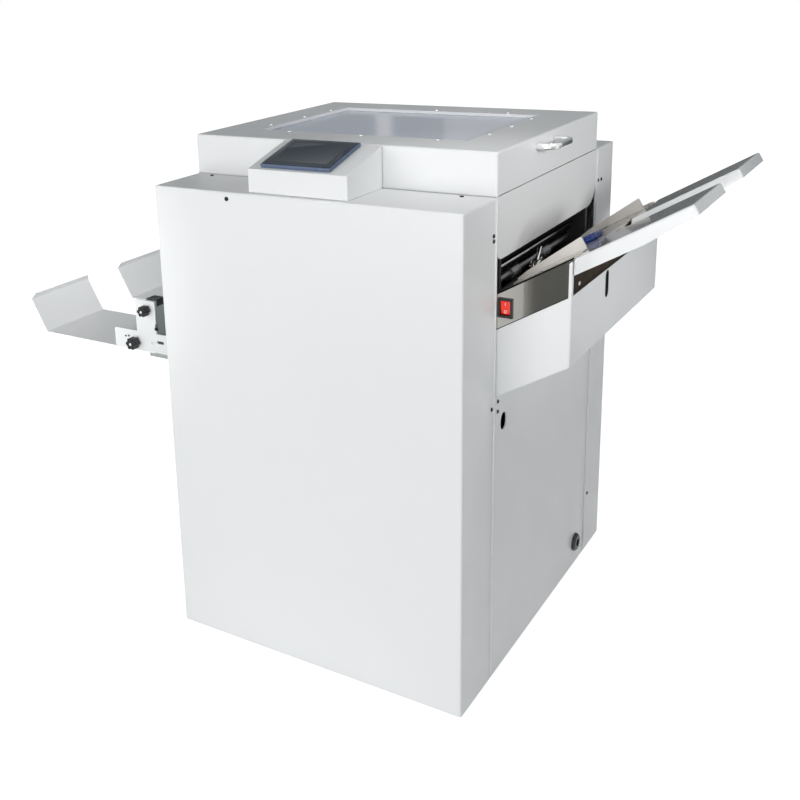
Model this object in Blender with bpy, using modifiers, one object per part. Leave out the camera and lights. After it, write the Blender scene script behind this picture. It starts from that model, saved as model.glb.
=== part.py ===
"""Floor-standing wire-stitching booklet maker, as separate pieces. Metres, +Z up.

Sheets slide down the sloping feed table from the right, are stitched and folded inside, and leave on the left.
The origin lies on the floor, under the middle of the whole machine.
"""

from math import acos, atan2, cos, hypot, pi, radians, sin, tan

import bmesh
import bpy
from mathutils import Matrix, Vector

# Cabinet
BODY_WIDTH = 0.555
FRONT_COVER_DEPTH = 0.120
MIDDLE_ROOM = 0.055
REAR_COVER_DEPTH = 0.100
COVER_HEIGHT = 0.820
LID_HEIGHT = 0.068
FLOOR_GAP = 0.012
SHEET = 0.002
INNER_BEND = 0.001
TOUCH = 0.0003
SEAM = 0.0016
OVERCUT = 0.004

# Chassis
PAN_SHEET = 0.003
PAN_RIM = 0.030
FOOT_INSET = 0.060
FOOT_RADIUS = 0.022
FOOT_PAD = 0.006
FOOT_STEM = 0.006
PAPER_WIDTH = 0.300
FRAME_ROOM = 0.094
FRAME_SHEET = 0.008
FRAME_DROP = 0.012
VENT_COLUMNS = 3
VENT_ROWS = 7
VENT_LENGTH = 0.080
VENT_HEIGHT = 0.005
VENT_COLUMN_PITCH = 0.110
VENT_ROW_PITCH = 0.014
VENT_LOW = 0.620
VENT_STEPS = 3

# Sloping feed path, measured along the slope from the cabinet's right face
INCLINE = radians(30.5)
MOUTH_DROP = 0.1505
TABLE_SHEET = 0.002
TABLE_SIDE_GAP = 0.0005
TABLE_END_CLEAR = 0.036
HALF_SHEET = 0.1485
STOP_BACK = 0.0915
STITCH_TO_FOLD = 0.110

# Infeed housing, its steel fascia and the switch
HOUSING_REACH = 0.117
HOUSING_DROP = 0.1665
FASCIA_HEIGHT = 0.0545
FASCIA_SHEET = 0.0015
FASCIA_LIP = 0.022
FASCIA_GAP = 0.0015
PANEL_LAP = 0.018
EAR_CLEAR = 0.004
FLANGE_DEPTH = 0.070
FLANGE_SIDE = 0.007
END_SLOT_Y = -0.053
END_SLOT_WIDTH = 0.018
END_SLOT_LENGTH = 0.045
END_SLOT_DROP = 0.002
COLUMN_FACE = 0.005
COLUMN_RETURN = 0.006
SWITCH_WIDTH = 0.0235
SWITCH_HEIGHT = 0.031
SWITCH_INSET = 0.004
SWITCH_RIM = 0.0025
SWITCH_PROUD = 0.002
SWITCH_DEPTH = 0.016
ROCKER_THICK = 0.007
ROCKER_BACK = 0.013
ROCKER_TILT = radians(8)

# Infeed cover plate over the mouth
INFEED_COVER_HEIGHT = 0.0985
INFEED_FRONT_RADIUS = 0.020
INFEED_REAR_RADIUS = 0.040
INFEED_LIP = 0.014

# Right panel fittings
PORT_INSET = 0.0385
PORT_DROP = 0.071
PORT_WIDTH = 0.024
PORT_LENGTH = 0.030
INLET_INSET = 0.0485
INLET_HEIGHT = 0.047
INLET_RADIUS = 0.0175
INLET_NECK = 0.012
INLET_PROUD = 0.007
INLET_DEPTH = 0.014
INLET_CLEAR = 0.005
INLET_SOCKET = 0.008
INLET_RING = 0.0035

# Extension arms past the table's end
ARM_LENGTH = 0.1875
ARM_WIDTH = 0.1625
ARM_SHEET = 0.0015
ARM_ROOT_FLANGE = 0.0215
ARM_FLANGE = 0.0225
ARM_TIP_FLANGE = 0.0160
ARM_TAPER = 0.100

# Sliding side guides
GUIDE_SHEET = 0.0015
GUIDE_START = 0.010
GUIDE_TOE = 0.020
GUIDE_LOW = 0.009
GUIDE_HIGH = 0.021
GUIDE_FOOT = 0.022
GUIDE_END_GAP = 0.002
GUIDE_NECK = 0.006
GUIDE_NECK_Y = 0.012
GUIDE_SHOE = 0.024
GUIDE_SHOE_THICK = 0.008
GUIDE_SLOT_ALONG = 0.062
GUIDE_IN = 0.045
GUIDE_OUT = 0.015
SLOT_CLEAR = 0.001
SLOT_END = 0.0025

# Rollers and their journals
JOURNAL = 0.006
JOURNAL_PROUD = 0.003
FEED_ALONG = 0.035
FEED_RADIUS = 0.015
FEED_PROUD = 0.001
FEED_TYRE = 0.040
FEED_TYRE_Y = 0.070
FEED_WINDOW_CLEAR = 0.003
PRESS_RADIUS = 0.012
PRESS_NIP = 0.001
PRESS_TYRE = 0.034

# Fold section
FOLD_RADIUS = 0.020
FOLD_NIP = 0.002
FOLD_EXTRA = 0.040
GEAR_MODULE = 0.002
GEAR_WIDTH = 0.012
GEAR_SIDE_GAP = 0.0015
TOOTH_TIP = 0.8
TOOTH_ROOT = 1.1
TOOTH_TIP_SHARE = 0.16
TOOTH_ROOT_SHARE = 0.30
GEAR_LIFT = 0.0025
PINION_TEETH = 15
PINION_ANGLE = radians(60)
PINION_SHAFT = 0.004
MOTOR_RADIUS = 0.029
MOTOR_LENGTH = 0.088
MOTOR_BOSS = 0.020
MOTOR_BOSS_LENGTH = 0.010
KNIFE_SHEET = 0.0012
KNIFE_EXTRA = 0.010
KNIFE_BLADE = 0.052
KNIFE_REST = 0.002
KNIFE_STROKE = 0.024
KNIFE_BEAM = 0.016
KNIFE_BEAM_THICK = 0.020
KNIFE_SLOT = 0.006

# Stitching section
HEAD_Y = 0.060
HEAD_WIDTH = 0.048
HEAD_ALONG = 0.052
HEAD_LIFT = 0.010
HEAD_NOSE = 0.028
HEAD_NOSE_WIDTH = 0.026
HEAD_TOP = 0.150
HEAD_CAP = 0.012
HEAD_CAP_INSET = 0.006
HEAD_POCKET = 0.034
HEAD_POCKET_DEPTH = 0.009
DRIVER_WIDTH = 0.010
DRIVER_PROUD = 0.027
DRIVER_HEAD = 0.020
DRIVER_HEAD_THICK = 0.009
DRIVER_STROKE = 0.009
RAIL_ALONG = 0.030
RAIL_LOW = 0.072
RAIL_HIGH = 0.116
CLINCH_ALONG = 0.034
CLINCH_DEPTH = 0.030
ANVIL_WIDTH = 0.020
ANVIL_ALONG = 0.012
ANVIL_SINK = 0.0004
ANVIL_CLEAR = 0.002
SPOOL_ALONG = 0.024
SPOOL_LIFT = 0.249
SPOOL_RADIUS = 0.038
SPOOL_WIDTH = 0.036
SPOOL_WALL = 0.003
SPOOL_CORE = 0.018
SPOOL_WIRE = 0.030
SPOOL_SHAFT = 0.007

# Stop gate
STOP_HEIGHT = 0.022
STOP_SHORT = 0.040
STOP_SHEET = 0.003
STOP_NECK_Y = 0.080
STOP_NECK = 0.006
STOP_SHOE = 0.020
STOP_SHOE_THICK = 0.012
STOP_DROP = 0.003
STOP_UP = 0.040
STOP_DOWN = 0.065

# Delivery inside the cabinet
EXIT_RISE = 0.083
EXIT_EXTRA = 0.040
EXIT_HEIGHT = 0.050
EXIT_INSET = 0.030
EXIT_RADIUS = 0.012
EXIT_NIP = 0.002
EXIT_TYRE = 0.050
EXIT_TYRE_Y = 0.075
CHUTE_SHEET = 0.0015
CHUTE_START = 0.055
CHUTE_SIDE = 0.014
CHUTE_BEND = 0.030
CHUTE_END_GAP = 0.010
CHUTE_DROP = 0.004

# Delivery trays on the left
TRAY_DROP = 0.110
TRAY_SHEET = 0.0015
TRAY_REACH = 0.4235
TRAY_LENGTH = 0.301
TRAY_RISE = 0.065
TRAY_LEAN = 0.037
LIP_RISE = 0.010
LIP_LEAN = 0.005
LIP_CORNER = 0.006
TRAY_INNER_Y = 0.048
TRAY_OFFSET = 0.011
TRAY_FLANGE = 0.032
TRAY_NOTCH = 0.008
TRAY_IN = 0.020
TRAY_OUT = 0.030
ARM_BAR_SHEET = 0.003
ARM_BAR_REACH = 0.2325
ARM_BAR_HEIGHT = 0.038
ARM_BAR_LIFT = 0.003
ARM_BAR_GAP = 0.030
ARM_TAB_WIDTH = 0.048
ARM_TAB_HEIGHT = 0.064
ARM_TAB_REACH = 0.1755
ARM_SLOT_STEP = 0.0585
ARM_SLOT_LENGTH = 0.017
ARM_SLOT_WIDTH = 0.006
ARM_CORNER = 0.003
POST_WIDTH = 0.025
POST_GAP = 0.0015
ARM_PAD_INSET = 0.006
POST_TOP = 0.105
POST_BRACKET = 0.025
POST_DROP = 0.008
POST_FLANGE = 0.060
POST_FLANGE_THICK = 0.004
KNOB_RADIUS = 0.013
KNOB_THICK = 0.014
KNOB_LOBES = 6
KNOB_LOBE_DEPTH = 0.0018
KNOB_NECK = 0.007
KNOB_NECK_LENGTH = 0.005
KNOB_STUD = 0.003
UPPER_KNOB_RISE = 0.047
UPPER_KNOB_SHIFT = 0.031
LOWER_KNOB_INSET = 0.055
LOWER_KNOB_RISE = 0.019
LOWER_STUD = 0.006

# Lid, window, handle and hinge
WINDOW_LEFT_RIM = 0.0775
WINDOW_RIGHT_RIM = 0.0845
WINDOW_FRONT_RIM = 0.0825
WINDOW_REAR_RIM = 0.0775
WINDOW_LAP = 0.014
WINDOW_DEPTH = 0.0055
WINDOW_SHEET = 0.004
HANDLE_LENGTH = 0.092
HANDLE_START = -0.070
HANDLE_PROUD = 0.036
HANDLE_ROD = 0.0055
HANDLE_LIFT = 0.047
HANDLE_BEND = 0.012
HINGE_SHORT = 0.105
HINGE_LEAF = 0.0012
HINGE_LEAF_HEIGHT = 0.020
HINGE_KNUCKLE = 0.003
HINGE_PIN = 0.0015
HINGE_KNUCKLES = 5
LID_OPEN = radians(80)

# Console
CONSOLE_LEFT = -0.093
CONSOLE_WIDTH = 0.180
CONSOLE_DEPTH = 0.109
CONSOLE_FRONT = 0.038
CONSOLE_REAR = 0.067
PANEL_WIDTH = 0.126
PANEL_DEPTH = 0.100
PANEL_PROUD = 0.006
PANEL_RIM = 0.010
PANEL_BAND = 0.014
PANEL_RECESS = 0.0012
PANEL_SHIFT = -0.006

# Electrical box on the rear frame
BOX_WIDTH = 0.260
BOX_HEIGHT = 0.300
BOX_DEPTH = 0.095
BOX_LIFT = 0.120
BOX_SHIFT = -0.040
BOX_SHEET = 0.0015

# Worked out from the sizes above
BEND = SHEET + INNER_BEND
SIDE = BODY_WIDTH / 2
FRAME_CLEAR = PAPER_WIDTH + FRAME_ROOM
MIDDLE_DEPTH = FRAME_CLEAR + 2 * FRAME_SHEET + MIDDLE_ROOM
Y_FRONT = -(FRONT_COVER_DEPTH + MIDDLE_DEPTH + REAR_COVER_DEPTH) / 2
Y_FRONT_SEAM = Y_FRONT + FRONT_COVER_DEPTH
Y_REAR_SEAM = Y_FRONT_SEAM + MIDDLE_DEPTH
Y_REAR = Y_REAR_SEAM + REAR_COVER_DEPTH
Z_LEDGE = FLOOR_GAP + COVER_HEIGHT
Z_TOP = Z_LEDGE + LID_HEIGHT
Z_MOUTH = Z_LEDGE - MOUTH_DROP
SLOPE = tan(INCLINE)
INSIDE = SIDE - SHEET - TOUCH
FRAME_INNER = FRAME_CLEAR / 2
FRAME_OUTER = FRAME_INNER + FRAME_SHEET
FRAME_TOP = Z_LEDGE - FRAME_DROP
GUIDE_Y = PAPER_WIDTH / 2
FOLD_LENGTH = PAPER_WIDTH + FOLD_EXTRA
KNIFE_WIDTH = PAPER_WIDTH + KNIFE_EXTRA
STOP_WIDTH = PAPER_WIDTH - STOP_SHORT
EXIT_WIDTH = PAPER_WIDTH + EXIT_EXTRA
TRAY_OUTER_Y = FRAME_OUTER + TRAY_OFFSET
HINGE_LENGTH = MIDDLE_DEPTH - HINGE_SHORT
WINDOW_LEFT = WINDOW_LEFT_RIM - SIDE
WINDOW_RIGHT = SIDE - WINDOW_RIGHT_RIM
WINDOW_FRONT = Y_FRONT_SEAM + WINDOW_FRONT_RIM
WINDOW_REAR = Y_REAR_SEAM - WINDOW_REAR_RIM
HOUSING_END = SIDE + HOUSING_REACH
TABLE_OUTER = HOUSING_REACH / cos(INCLINE)
TABLE_INNER = (BODY_WIDTH - SHEET - TABLE_END_CLEAR) / cos(INCLINE)
TABLE_HALF = FRAME_INNER - TABLE_SIDE_GAP
STOP_ALONG = -(TABLE_INNER - STOP_BACK)
FOLD_ALONG = STOP_ALONG + HALF_SHEET
STITCH_ALONG = FOLD_ALONG + STITCH_TO_FOLD
FOLD_HALF = FOLD_RADIUS + FOLD_NIP / 2
GEAR_TEETH = round(2 * FOLD_HALF / GEAR_MODULE)
GEAR_PITCH = FOLD_HALF
TOOTH_SIZE = 2 * GEAR_PITCH / GEAR_TEETH
FOLD_UP = GEAR_PITCH + TOOTH_TIP * TOOTH_SIZE + GEAR_LIFT
PINION_PITCH = TOOTH_SIZE * PINION_TEETH / 2
PINION_ALONG = FOLD_ALONG + FOLD_HALF + (GEAR_PITCH + PINION_PITCH) * cos(PINION_ANGLE)
PINION_UP = FOLD_UP + (GEAR_PITCH + PINION_PITCH) * sin(PINION_ANGLE)
FEED_UP = FEED_PROUD - FEED_RADIUS
PRESS_UP = FEED_PROUD + PRESS_NIP + PRESS_RADIUS
EXIT_Z = Z_MOUTH + FOLD_ALONG * sin(INCLINE) + EXIT_RISE
EXIT_X = -SIDE + EXIT_INSET
TRAY_Z = EXIT_Z - TRAY_DROP
TRAY_X = -SIDE - TRAY_REACH
LOWER_KNOB_REACH = ARM_BAR_REACH - LOWER_KNOB_INSET
ARM_SLOT_REACH = LOWER_KNOB_REACH - ARM_SLOT_STEP
ARM_TIP = TABLE_OUTER + TOUCH + ARM_LENGTH
PANEL_TOP = Z_MOUTH - HOUSING_DROP + PANEL_LAP
PORT_Y = Y_FRONT_SEAM + PORT_INSET
PORT_Z = PANEL_TOP - PORT_DROP
INLET_Y = Y_REAR_SEAM - INLET_INSET
INLET_Z = FLOOR_GAP + INLET_HEIGHT
LEFT_REACH = TRAY_X - TRAY_LEAN
RIGHT_REACH = SIDE + ARM_TIP * cos(INCLINE) + ARM_TIP_FLANGE * sin(INCLINE)
MIDDLE_X = -(LEFT_REACH + RIGHT_REACH) / 2

# Colours are linear red, green and blue, then roughness and metallic
PAINT = (0.80, 0.80, 0.80, 0.35, 0.0)
GREY_PAINT = (0.42, 0.43, 0.43, 0.45, 0.0)
STAINLESS = (0.62, 0.60, 0.57, 0.28, 1.0)
STEEL = (0.52, 0.53, 0.54, 0.35, 1.0)
DARK_STEEL = (0.12, 0.12, 0.12, 0.45, 1.0)
CHROME = (0.80, 0.80, 0.80, 0.12, 1.0)
RUBBER = (0.03, 0.03, 0.03, 0.80, 0.0)
BLACK_PLASTIC = (0.02, 0.02, 0.02, 0.40, 0.0)
RED_PLASTIC = (0.80, 0.05, 0.02, 0.30, 0.0)
SCREEN_PLASTIC = (0.03, 0.05, 0.09, 0.25, 0.0)
ACRYLIC = (0.55, 0.65, 0.80, 0.08, 0.0)
COPPER_WIRE = (0.70, 0.45, 0.30, 0.35, 1.0)

ROUND_STEPS = 20
SMALL_STEPS = 12
WELD = 1e-6
POLE_WELD = 1e-5
FACING_SHARE = 0.99
FOLD_ANGLE = radians(40)


def clear_scene():
    for thing in list(bpy.data.objects):
        bpy.data.objects.remove(thing)


def new_collection(name):
    made = bpy.data.collections.new(name)
    bpy.context.scene.collection.children.link(made)
    return made


clear_scene()
PIECES = new_collection("booklet_maker")
CUTTERS = new_collection("cutters")


def empty(name, place, turn=(0, 0, 0), parent=None):
    made = bpy.data.objects.new(name, None)
    PIECES.objects.link(made)
    made.parent = parent
    made.location = place
    made.rotation_euler = turn
    return made


MACHINE = empty("machine", (MIDDLE_X, 0, 0))
PATH = empty("feed_path", (SIDE, 0, Z_MOUTH), (0, -INCLINE, 0), MACHINE)


def on_path(along, up):
    """Cabinet x and z of a place that many metres along the slope and above the table's surface."""
    x = SIDE + along * cos(INCLINE) - up * sin(INCLINE)
    z = Z_MOUTH + along * sin(INCLINE) + up * cos(INCLINE)
    return x, z


def table_z(x):
    return Z_MOUTH + (x - SIDE) * SLOPE


def finish_of(name, look):
    red, green, blue, roughness, metallic = look
    made = bpy.data.materials.new(name)
    made.use_nodes = True
    shader = made.node_tree.nodes["Principled BSDF"]
    shader.inputs["Base Color"].default_value = (red, green, blue, 1)
    shader.inputs["Roughness"].default_value = roughness
    shader.inputs["Metallic"].default_value = metallic
    return made


def add(name, mesh, look, place=(0, 0, 0), turn=(0, 0, 0), parent=None):
    made = bpy.data.objects.new(name, mesh)
    PIECES.objects.link(made)
    made.parent = parent or MACHINE
    made.location = place
    made.rotation_euler = turn
    if look:
        mesh.materials.append(finish_of(name, look))
    return made


def tool(thing):
    """Turns a solid into a helper that only cuts or joins."""
    PIECES.objects.unlink(thing)
    CUTTERS.objects.link(thing)
    thing.hide_render = True
    thing.display_type = "WIRE"
    return thing


def boolean(thing, other, operation):
    step = thing.modifiers.new(operation.lower(), "BOOLEAN")
    step.operation = operation
    step.solver = "EXACT"
    step.object = tool(other)
    return thing


def cut(thing, *others):
    for other in others:
        boolean(thing, other, "DIFFERENCE")
    return thing


def join(thing, *others):
    for other in others:
        boolean(thing, other, "UNION")
    return thing


def mesh_from(form, name):
    bmesh.ops.recalc_face_normals(form, faces=form.faces)
    mesh = bpy.data.meshes.new(name)
    form.to_mesh(mesh)
    form.free()
    return mesh


def box_form(low, high):
    form = bmesh.new()
    bmesh.ops.create_cube(form, size=1.0)
    size = [b - a for a, b in zip(low, high)]
    middle = [(a + b) / 2 for a, b in zip(low, high)]
    bmesh.ops.scale(form, vec=size, verts=form.verts)
    bmesh.ops.translate(form, vec=middle, verts=form.verts)
    return form


def block(name, low, high, look, parent=None, place=(0, 0, 0), turn=(0, 0, 0)):
    return add(name, mesh_from(box_form(low, high), name), look, place, turn, parent)


def round_edges(thing, radius, steps=2):
    step = thing.modifiers.new("round edges", "BEVEL")
    step.width = radius
    step.segments = steps
    step.limit_method = "ANGLE"
    step.angle_limit = FOLD_ANGLE
    return thing


def faces_towards(form, direction):
    return [face for face in form.faces if face.normal.dot(Vector(direction)) > FACING_SHARE]


def folded_box(name, low, high, open_sides, wall, bend, look, parent=None):
    """Sheet-metal box with rounded folds, open towards each direction in open_sides."""
    form = box_form(low, high)
    form.normal_update()
    gone = [face for side in open_sides for face in faces_towards(form, side)]
    folds = [edge for edge in form.edges if not set(edge.link_faces) & set(gone)]
    bmesh.ops.bevel(form, geom=folds, offset=bend, segments=2, profile=0.5, affect="EDGES")
    form.normal_update()
    gone = [face for side in open_sides for face in faces_towards(form, side)]
    bmesh.ops.delete(form, geom=gone, context="FACES")
    made = add(name, mesh_from(form, name), look, parent=parent)
    return thicken(made, wall, -1)


def folded_profile(name, outline, walls, near, far, wall, bend, look, parent=None):
    """Sheet-metal box with a side outline of (x, z) at near and far, and a wall along each stretch in walls."""
    form = bmesh.new()
    first, second = [[form.verts.new((x, y, z)) for x, z in outline] for y in (near, far)]
    form.faces.new(first)
    form.faces.new(reversed(second))
    for start in walls:
        end = (start + 1) % len(outline)
        form.faces.new((first[end], first[start], second[start], second[end]))
    folds = [edge for edge in form.edges if len(edge.link_faces) == 2]
    bmesh.ops.bevel(form, geom=folds, offset=bend, segments=2, profile=0.5, affect="EDGES")
    made = add(name, mesh_from(form, name), look, parent=parent)
    return thicken(made, wall, -1)


def thicken(thing, wall, side):
    step = thing.modifiers.new("sheet", "SOLIDIFY")
    step.thickness = wall
    step.offset = side
    step.use_even_offset = True
    return thing


FACINGS = {"x": (pi / 2, 0, pi / 2), "y": (pi / 2, 0, 0), "z": (0, 0, 0)}


def flat_mesh(name, outline, holes, thick):
    """Flat plate with holes, made as a filled curve and welded into one closed mesh."""
    curve = bpy.data.curves.new(name, "CURVE")
    curve.dimensions = "2D"
    curve.fill_mode = "BOTH"
    curve.extrude = thick / 2
    for loop in (outline, *holes):
        line = curve.splines.new("POLY")
        line.points.add(len(loop) - 1)
        line.use_cyclic_u = True
        for point, (across, up) in zip(line.points, loop):
            point.co = (across, up, 0, 1)
    guide = bpy.data.objects.new(name + "_outline", curve)
    PIECES.objects.link(guide)
    bpy.context.view_layer.update()
    graph = bpy.context.evaluated_depsgraph_get()
    raw = bpy.data.meshes.new_from_object(guide.evaluated_get(graph))
    bpy.data.objects.remove(guide)
    form = bmesh.new()
    form.from_mesh(raw)
    bpy.data.meshes.remove(raw)
    bmesh.ops.remove_doubles(form, verts=form.verts, dist=WELD)
    return mesh_from(form, name)


def plate(name, outline, holes, thick, facing, middle, look, parent=None):
    """Plate whose outline is (y, z) when it faces x, (x, z) when it faces y, and (x, y) when it faces z."""
    axis = "xyz".index(facing)
    place = [middle if axis == index else 0 for index in range(3)]
    mesh = flat_mesh(name, outline, holes, thick)
    return add(name, mesh, look, place, FACINGS[facing], parent)


def circle(across, up, radius, steps=ROUND_STEPS):
    turns = [2 * pi * index / steps for index in range(steps)]
    return [(across + radius * cos(turn), up + radius * sin(turn)) for turn in turns]


def rectangle(across, up, width, height):
    return [
        (across - width / 2, up - height / 2),
        (across + width / 2, up - height / 2),
        (across + width / 2, up + height / 2),
        (across - width / 2, up + height / 2),
    ]


def rounded(corners, radii, steps=4):
    """The outline with an arc of its own radius at each corner."""
    outline = []
    for index, (corner, radius) in enumerate(zip(corners, radii)):
        here = Vector(corner)
        back = (Vector(corners[index - 1]) - here).normalized()
        ahead = (Vector(corners[(index + 1) % len(corners)]) - here).normalized()
        if not radius:
            outline.append(tuple(here))
            continue
        half = acos(max(-1, min(1, back.dot(ahead)))) / 2
        centre = here + (back + ahead).normalized() * radius / sin(half)
        first = here + back * radius / tan(half) - centre
        last = here + ahead * radius / tan(half) - centre
        start = atan2(first.y, first.x)
        sweep = (atan2(last.y, last.x) - start + pi) % (2 * pi) - pi
        for step in range(steps + 1):
            turn = start + sweep * step / steps
            outline.append((centre.x + radius * cos(turn), centre.y + radius * sin(turn)))
    return outline


def oblong(across, up, width, height, steps=8):
    """Slot with round ends, as wide and as high as given."""
    radius = min(width, height) / 2
    shift_x = width / 2 - radius
    shift_y = height / 2 - radius
    start = -pi / 2 if shift_x else 0
    outline = []
    for side in (1, -1):
        for step in range(steps + 1):
            turn = start + pi * step / steps
            x = across + side * (shift_x + radius * cos(turn))
            y = up + side * (shift_y + radius * sin(turn))
            outline.append((x, y))
    return outline


def turned(name, profile, look, place, turn, parent=None, closed=False, steps=ROUND_STEPS):
    """Revolved solid. The profile lists (radius, height) down its outer side."""
    mesh = bpy.data.meshes.new(name)
    points = [(radius, 0, height) for radius, height in profile]
    edges = [(index, index + 1) for index in range(len(points) - 1)]
    if closed:
        edges.append((len(points) - 1, 0))
    mesh.from_pydata(points, edges, [])
    made = add(name, mesh, look, place, turn, parent)
    step = made.modifiers.new("turn", "SCREW")
    step.axis = "Z"
    step.angle = 2 * pi
    step.screw_offset = 0
    step.steps = steps
    step.render_steps = steps
    step.use_merge_vertices = True
    step.merge_threshold = POLE_WELD
    step.use_smooth_shade = True
    return made


ALONG_Y = (-pi / 2, 0, 0)
ALONG_X = (0, pi / 2, 0)


def bent_sheet(name, profile, near, far, wall, look, parent=None):
    """Sheet folded along a profile of (x, z) points and running from near to far in y."""
    form = bmesh.new()
    rows = []
    for x, z in profile:
        first = form.verts.new((x, near, z))
        last = form.verts.new((x, far, z))
        rows.append((first, last))
    for (a, b), (c, d) in zip(rows, rows[1:]):
        form.faces.new((a, b, d, c))
    mesh = bpy.data.meshes.new(name)
    form.to_mesh(mesh)
    form.free()
    return thicken(add(name, mesh, look, parent=parent), wall, 0)


def base_pan():
    low = (-INSIDE, Y_FRONT + SHEET + TOUCH, FLOOR_GAP)
    high = (INSIDE, Y_REAR - SHEET - TOUCH, FLOOR_GAP + PAN_RIM)
    folded_box("base_pan", low, high, [(0, 0, 1)], PAN_SHEET, PAN_SHEET + INNER_BEND, GREY_PAINT)


def feet():
    top = FLOOR_GAP - TOUCH
    profile = [
        (0, top),
        (FOOT_STEM, top),
        (FOOT_STEM, FOOT_PAD),
        (FOOT_RADIUS - FOOT_PAD / 2, FOOT_PAD),
        (FOOT_RADIUS, FOOT_PAD / 2),
        (FOOT_RADIUS, 0),
        (0, 0),
    ]
    for across, x in (("left", FOOT_INSET - SIDE), ("right", SIDE - FOOT_INSET)):
        for along, y in (("front", Y_FRONT + FOOT_INSET), ("rear", Y_REAR - FOOT_INSET)):
            turned(f"foot_{along}_{across}", profile, RUBBER, (x, y, 0), (0, 0, 0))


def shaft_holes():
    """Round holes for every shaft that the two frames carry."""
    journal = JOURNAL + TOUCH
    holes = [circle(*on_path(-FEED_ALONG, up), journal) for up in (FEED_UP, PRESS_UP)]
    holes += [circle(*on_path(FOLD_ALONG + side, FOLD_UP), journal) for side in (-FOLD_HALF, FOLD_HALF)]
    exit_half = EXIT_RADIUS + EXIT_NIP / 2
    holes += [circle(EXIT_X, EXIT_Z + side, journal) for side in (-exit_half, exit_half)]
    holes.append(circle(*on_path(STITCH_ALONG - SPOOL_ALONG, SPOOL_LIFT), SPOOL_SHAFT + TOUCH))
    return holes


def frames():
    """The two thick side frames, each with an ear that carries the infeed housing and fascia."""
    low = FLOOR_GAP + PAN_SHEET + TOUCH
    rim = FLOOR_GAP + PAN_RIM + TOUCH
    narrow = INSIDE - PAN_SHEET - TOUCH
    ear_end = HOUSING_END - SHEET - TABLE_SHEET - 2 * TOUCH
    ear_low = PANEL_LAP + EAR_CLEAR - HOUSING_DROP
    ear_high = -lip_drop()
    notch_x = SIDE - INLET_DEPTH - INLET_CLEAR
    notch_z = INLET_Z + INLET_NECK + INLET_CLEAR
    corners = [
        (-narrow, low),
        (narrow, low),
        (narrow, rim),
        (notch_x, rim),
        (notch_x, notch_z),
        (INSIDE, notch_z),
        (INSIDE, table_z(SIDE) + ear_low),
        (SIDE, table_z(SIDE) + ear_low),
        (ear_end, table_z(ear_end) + ear_low),
        (ear_end, table_z(ear_end) + ear_high),
        (INSIDE, table_z(INSIDE) + ear_high),
        (INSIDE, FRAME_TOP),
        (-INSIDE, FRAME_TOP),
        (-INSIDE, rim),
        (-narrow, rim),
    ]
    outline = rounded(corners, [BEND, BEND] + [0] * (len(corners) - 2))
    pinion_hole = circle(*on_path(PINION_ALONG, PINION_UP), PINION_SHAFT + TOUCH, SMALL_STEPS)
    centre = FRAME_INNER + FRAME_SHEET / 2
    front_holes = [*shaft_holes(), pinion_hole]
    plate("front_frame", outline, front_holes, FRAME_SHEET, "y", -centre, GREY_PAINT)
    plate("rear_frame", outline, shaft_holes(), FRAME_SHEET, "y", centre, GREY_PAINT)


def covers():
    """Front and rear covers, folded boxes that hook over the middle of the cabinet."""
    low = (-SIDE, Y_FRONT, FLOOR_GAP)
    high = (SIDE, Y_FRONT_SEAM - SEAM / 2, Z_LEDGE)
    folded_box("front_cover", low, high, [(0, 1, 0), (0, 0, -1)], SHEET, BEND, PAINT)
    low = (-SIDE, Y_REAR_SEAM + SEAM / 2, FLOOR_GAP)
    high = (SIDE, Y_REAR, Z_LEDGE)
    rear = folded_box("rear_cover", low, high, [(0, -1, 0), (0, 0, -1)], SHEET, BEND, PAINT)
    rear_vents(rear)


def rear_vents(cover):
    """Rows of vent slots high on the rear cover's back."""
    slots = []
    for column in range(VENT_COLUMNS):
        x = (column - (VENT_COLUMNS - 1) / 2) * VENT_COLUMN_PITCH
        for row in range(VENT_ROWS):
            z = FLOOR_GAP + VENT_LOW + row * VENT_ROW_PITCH
            slots.append(oblong(x, z, VENT_LENGTH, VENT_HEIGHT, VENT_STEPS))
    cut(cover, plate("vent_slots", slots[0], slots[1:], 4 * SHEET, "y", Y_REAR, None))


def side_panels():
    near = Y_FRONT_SEAM + SEAM / 2
    far = Y_REAR_SEAM - SEAM / 2
    outline = [(near, FLOOR_GAP), (far, FLOOR_GAP), (far, Z_LEDGE), (near, Z_LEDGE)]
    slot = rounded(rectangle(0, EXIT_Z, EXIT_WIDTH, EXIT_HEIGHT), [BEND] * 4, 3)
    plate("left_panel", outline, [slot], SHEET, "x", -SIDE + SHEET / 2, PAINT)
    outline = [(near, FLOOR_GAP), (far, FLOOR_GAP), (far, PANEL_TOP), (near, PANEL_TOP)]
    port = oblong(PORT_Y, PORT_Z, PORT_WIDTH, PORT_LENGTH)
    inlet = circle(INLET_Y, INLET_Z, INLET_NECK + TOUCH)
    plate("right_panel", outline, [port, inlet], SHEET, "x", SIDE - SHEET / 2, PAINT)


def power_inlet():
    """Round black inlet low on the right panel, seen from outside with a blind socket."""
    profile = [
        (0, INLET_PROUD - INLET_SOCKET),
        (INLET_SOCKET, INLET_PROUD - INLET_SOCKET),
        (INLET_SOCKET, INLET_PROUD),
        (INLET_RADIUS - INLET_RING, INLET_PROUD),
        (INLET_RADIUS, INLET_PROUD - INLET_RING),
        (INLET_RADIUS, TOUCH),
        (INLET_NECK, TOUCH),
        (INLET_NECK, -INLET_DEPTH),
        (0, -INLET_DEPTH),
    ]
    turned("power_inlet", profile, BLACK_PLASTIC, (SIDE, INLET_Y, INLET_Z), ALONG_X)


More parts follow.
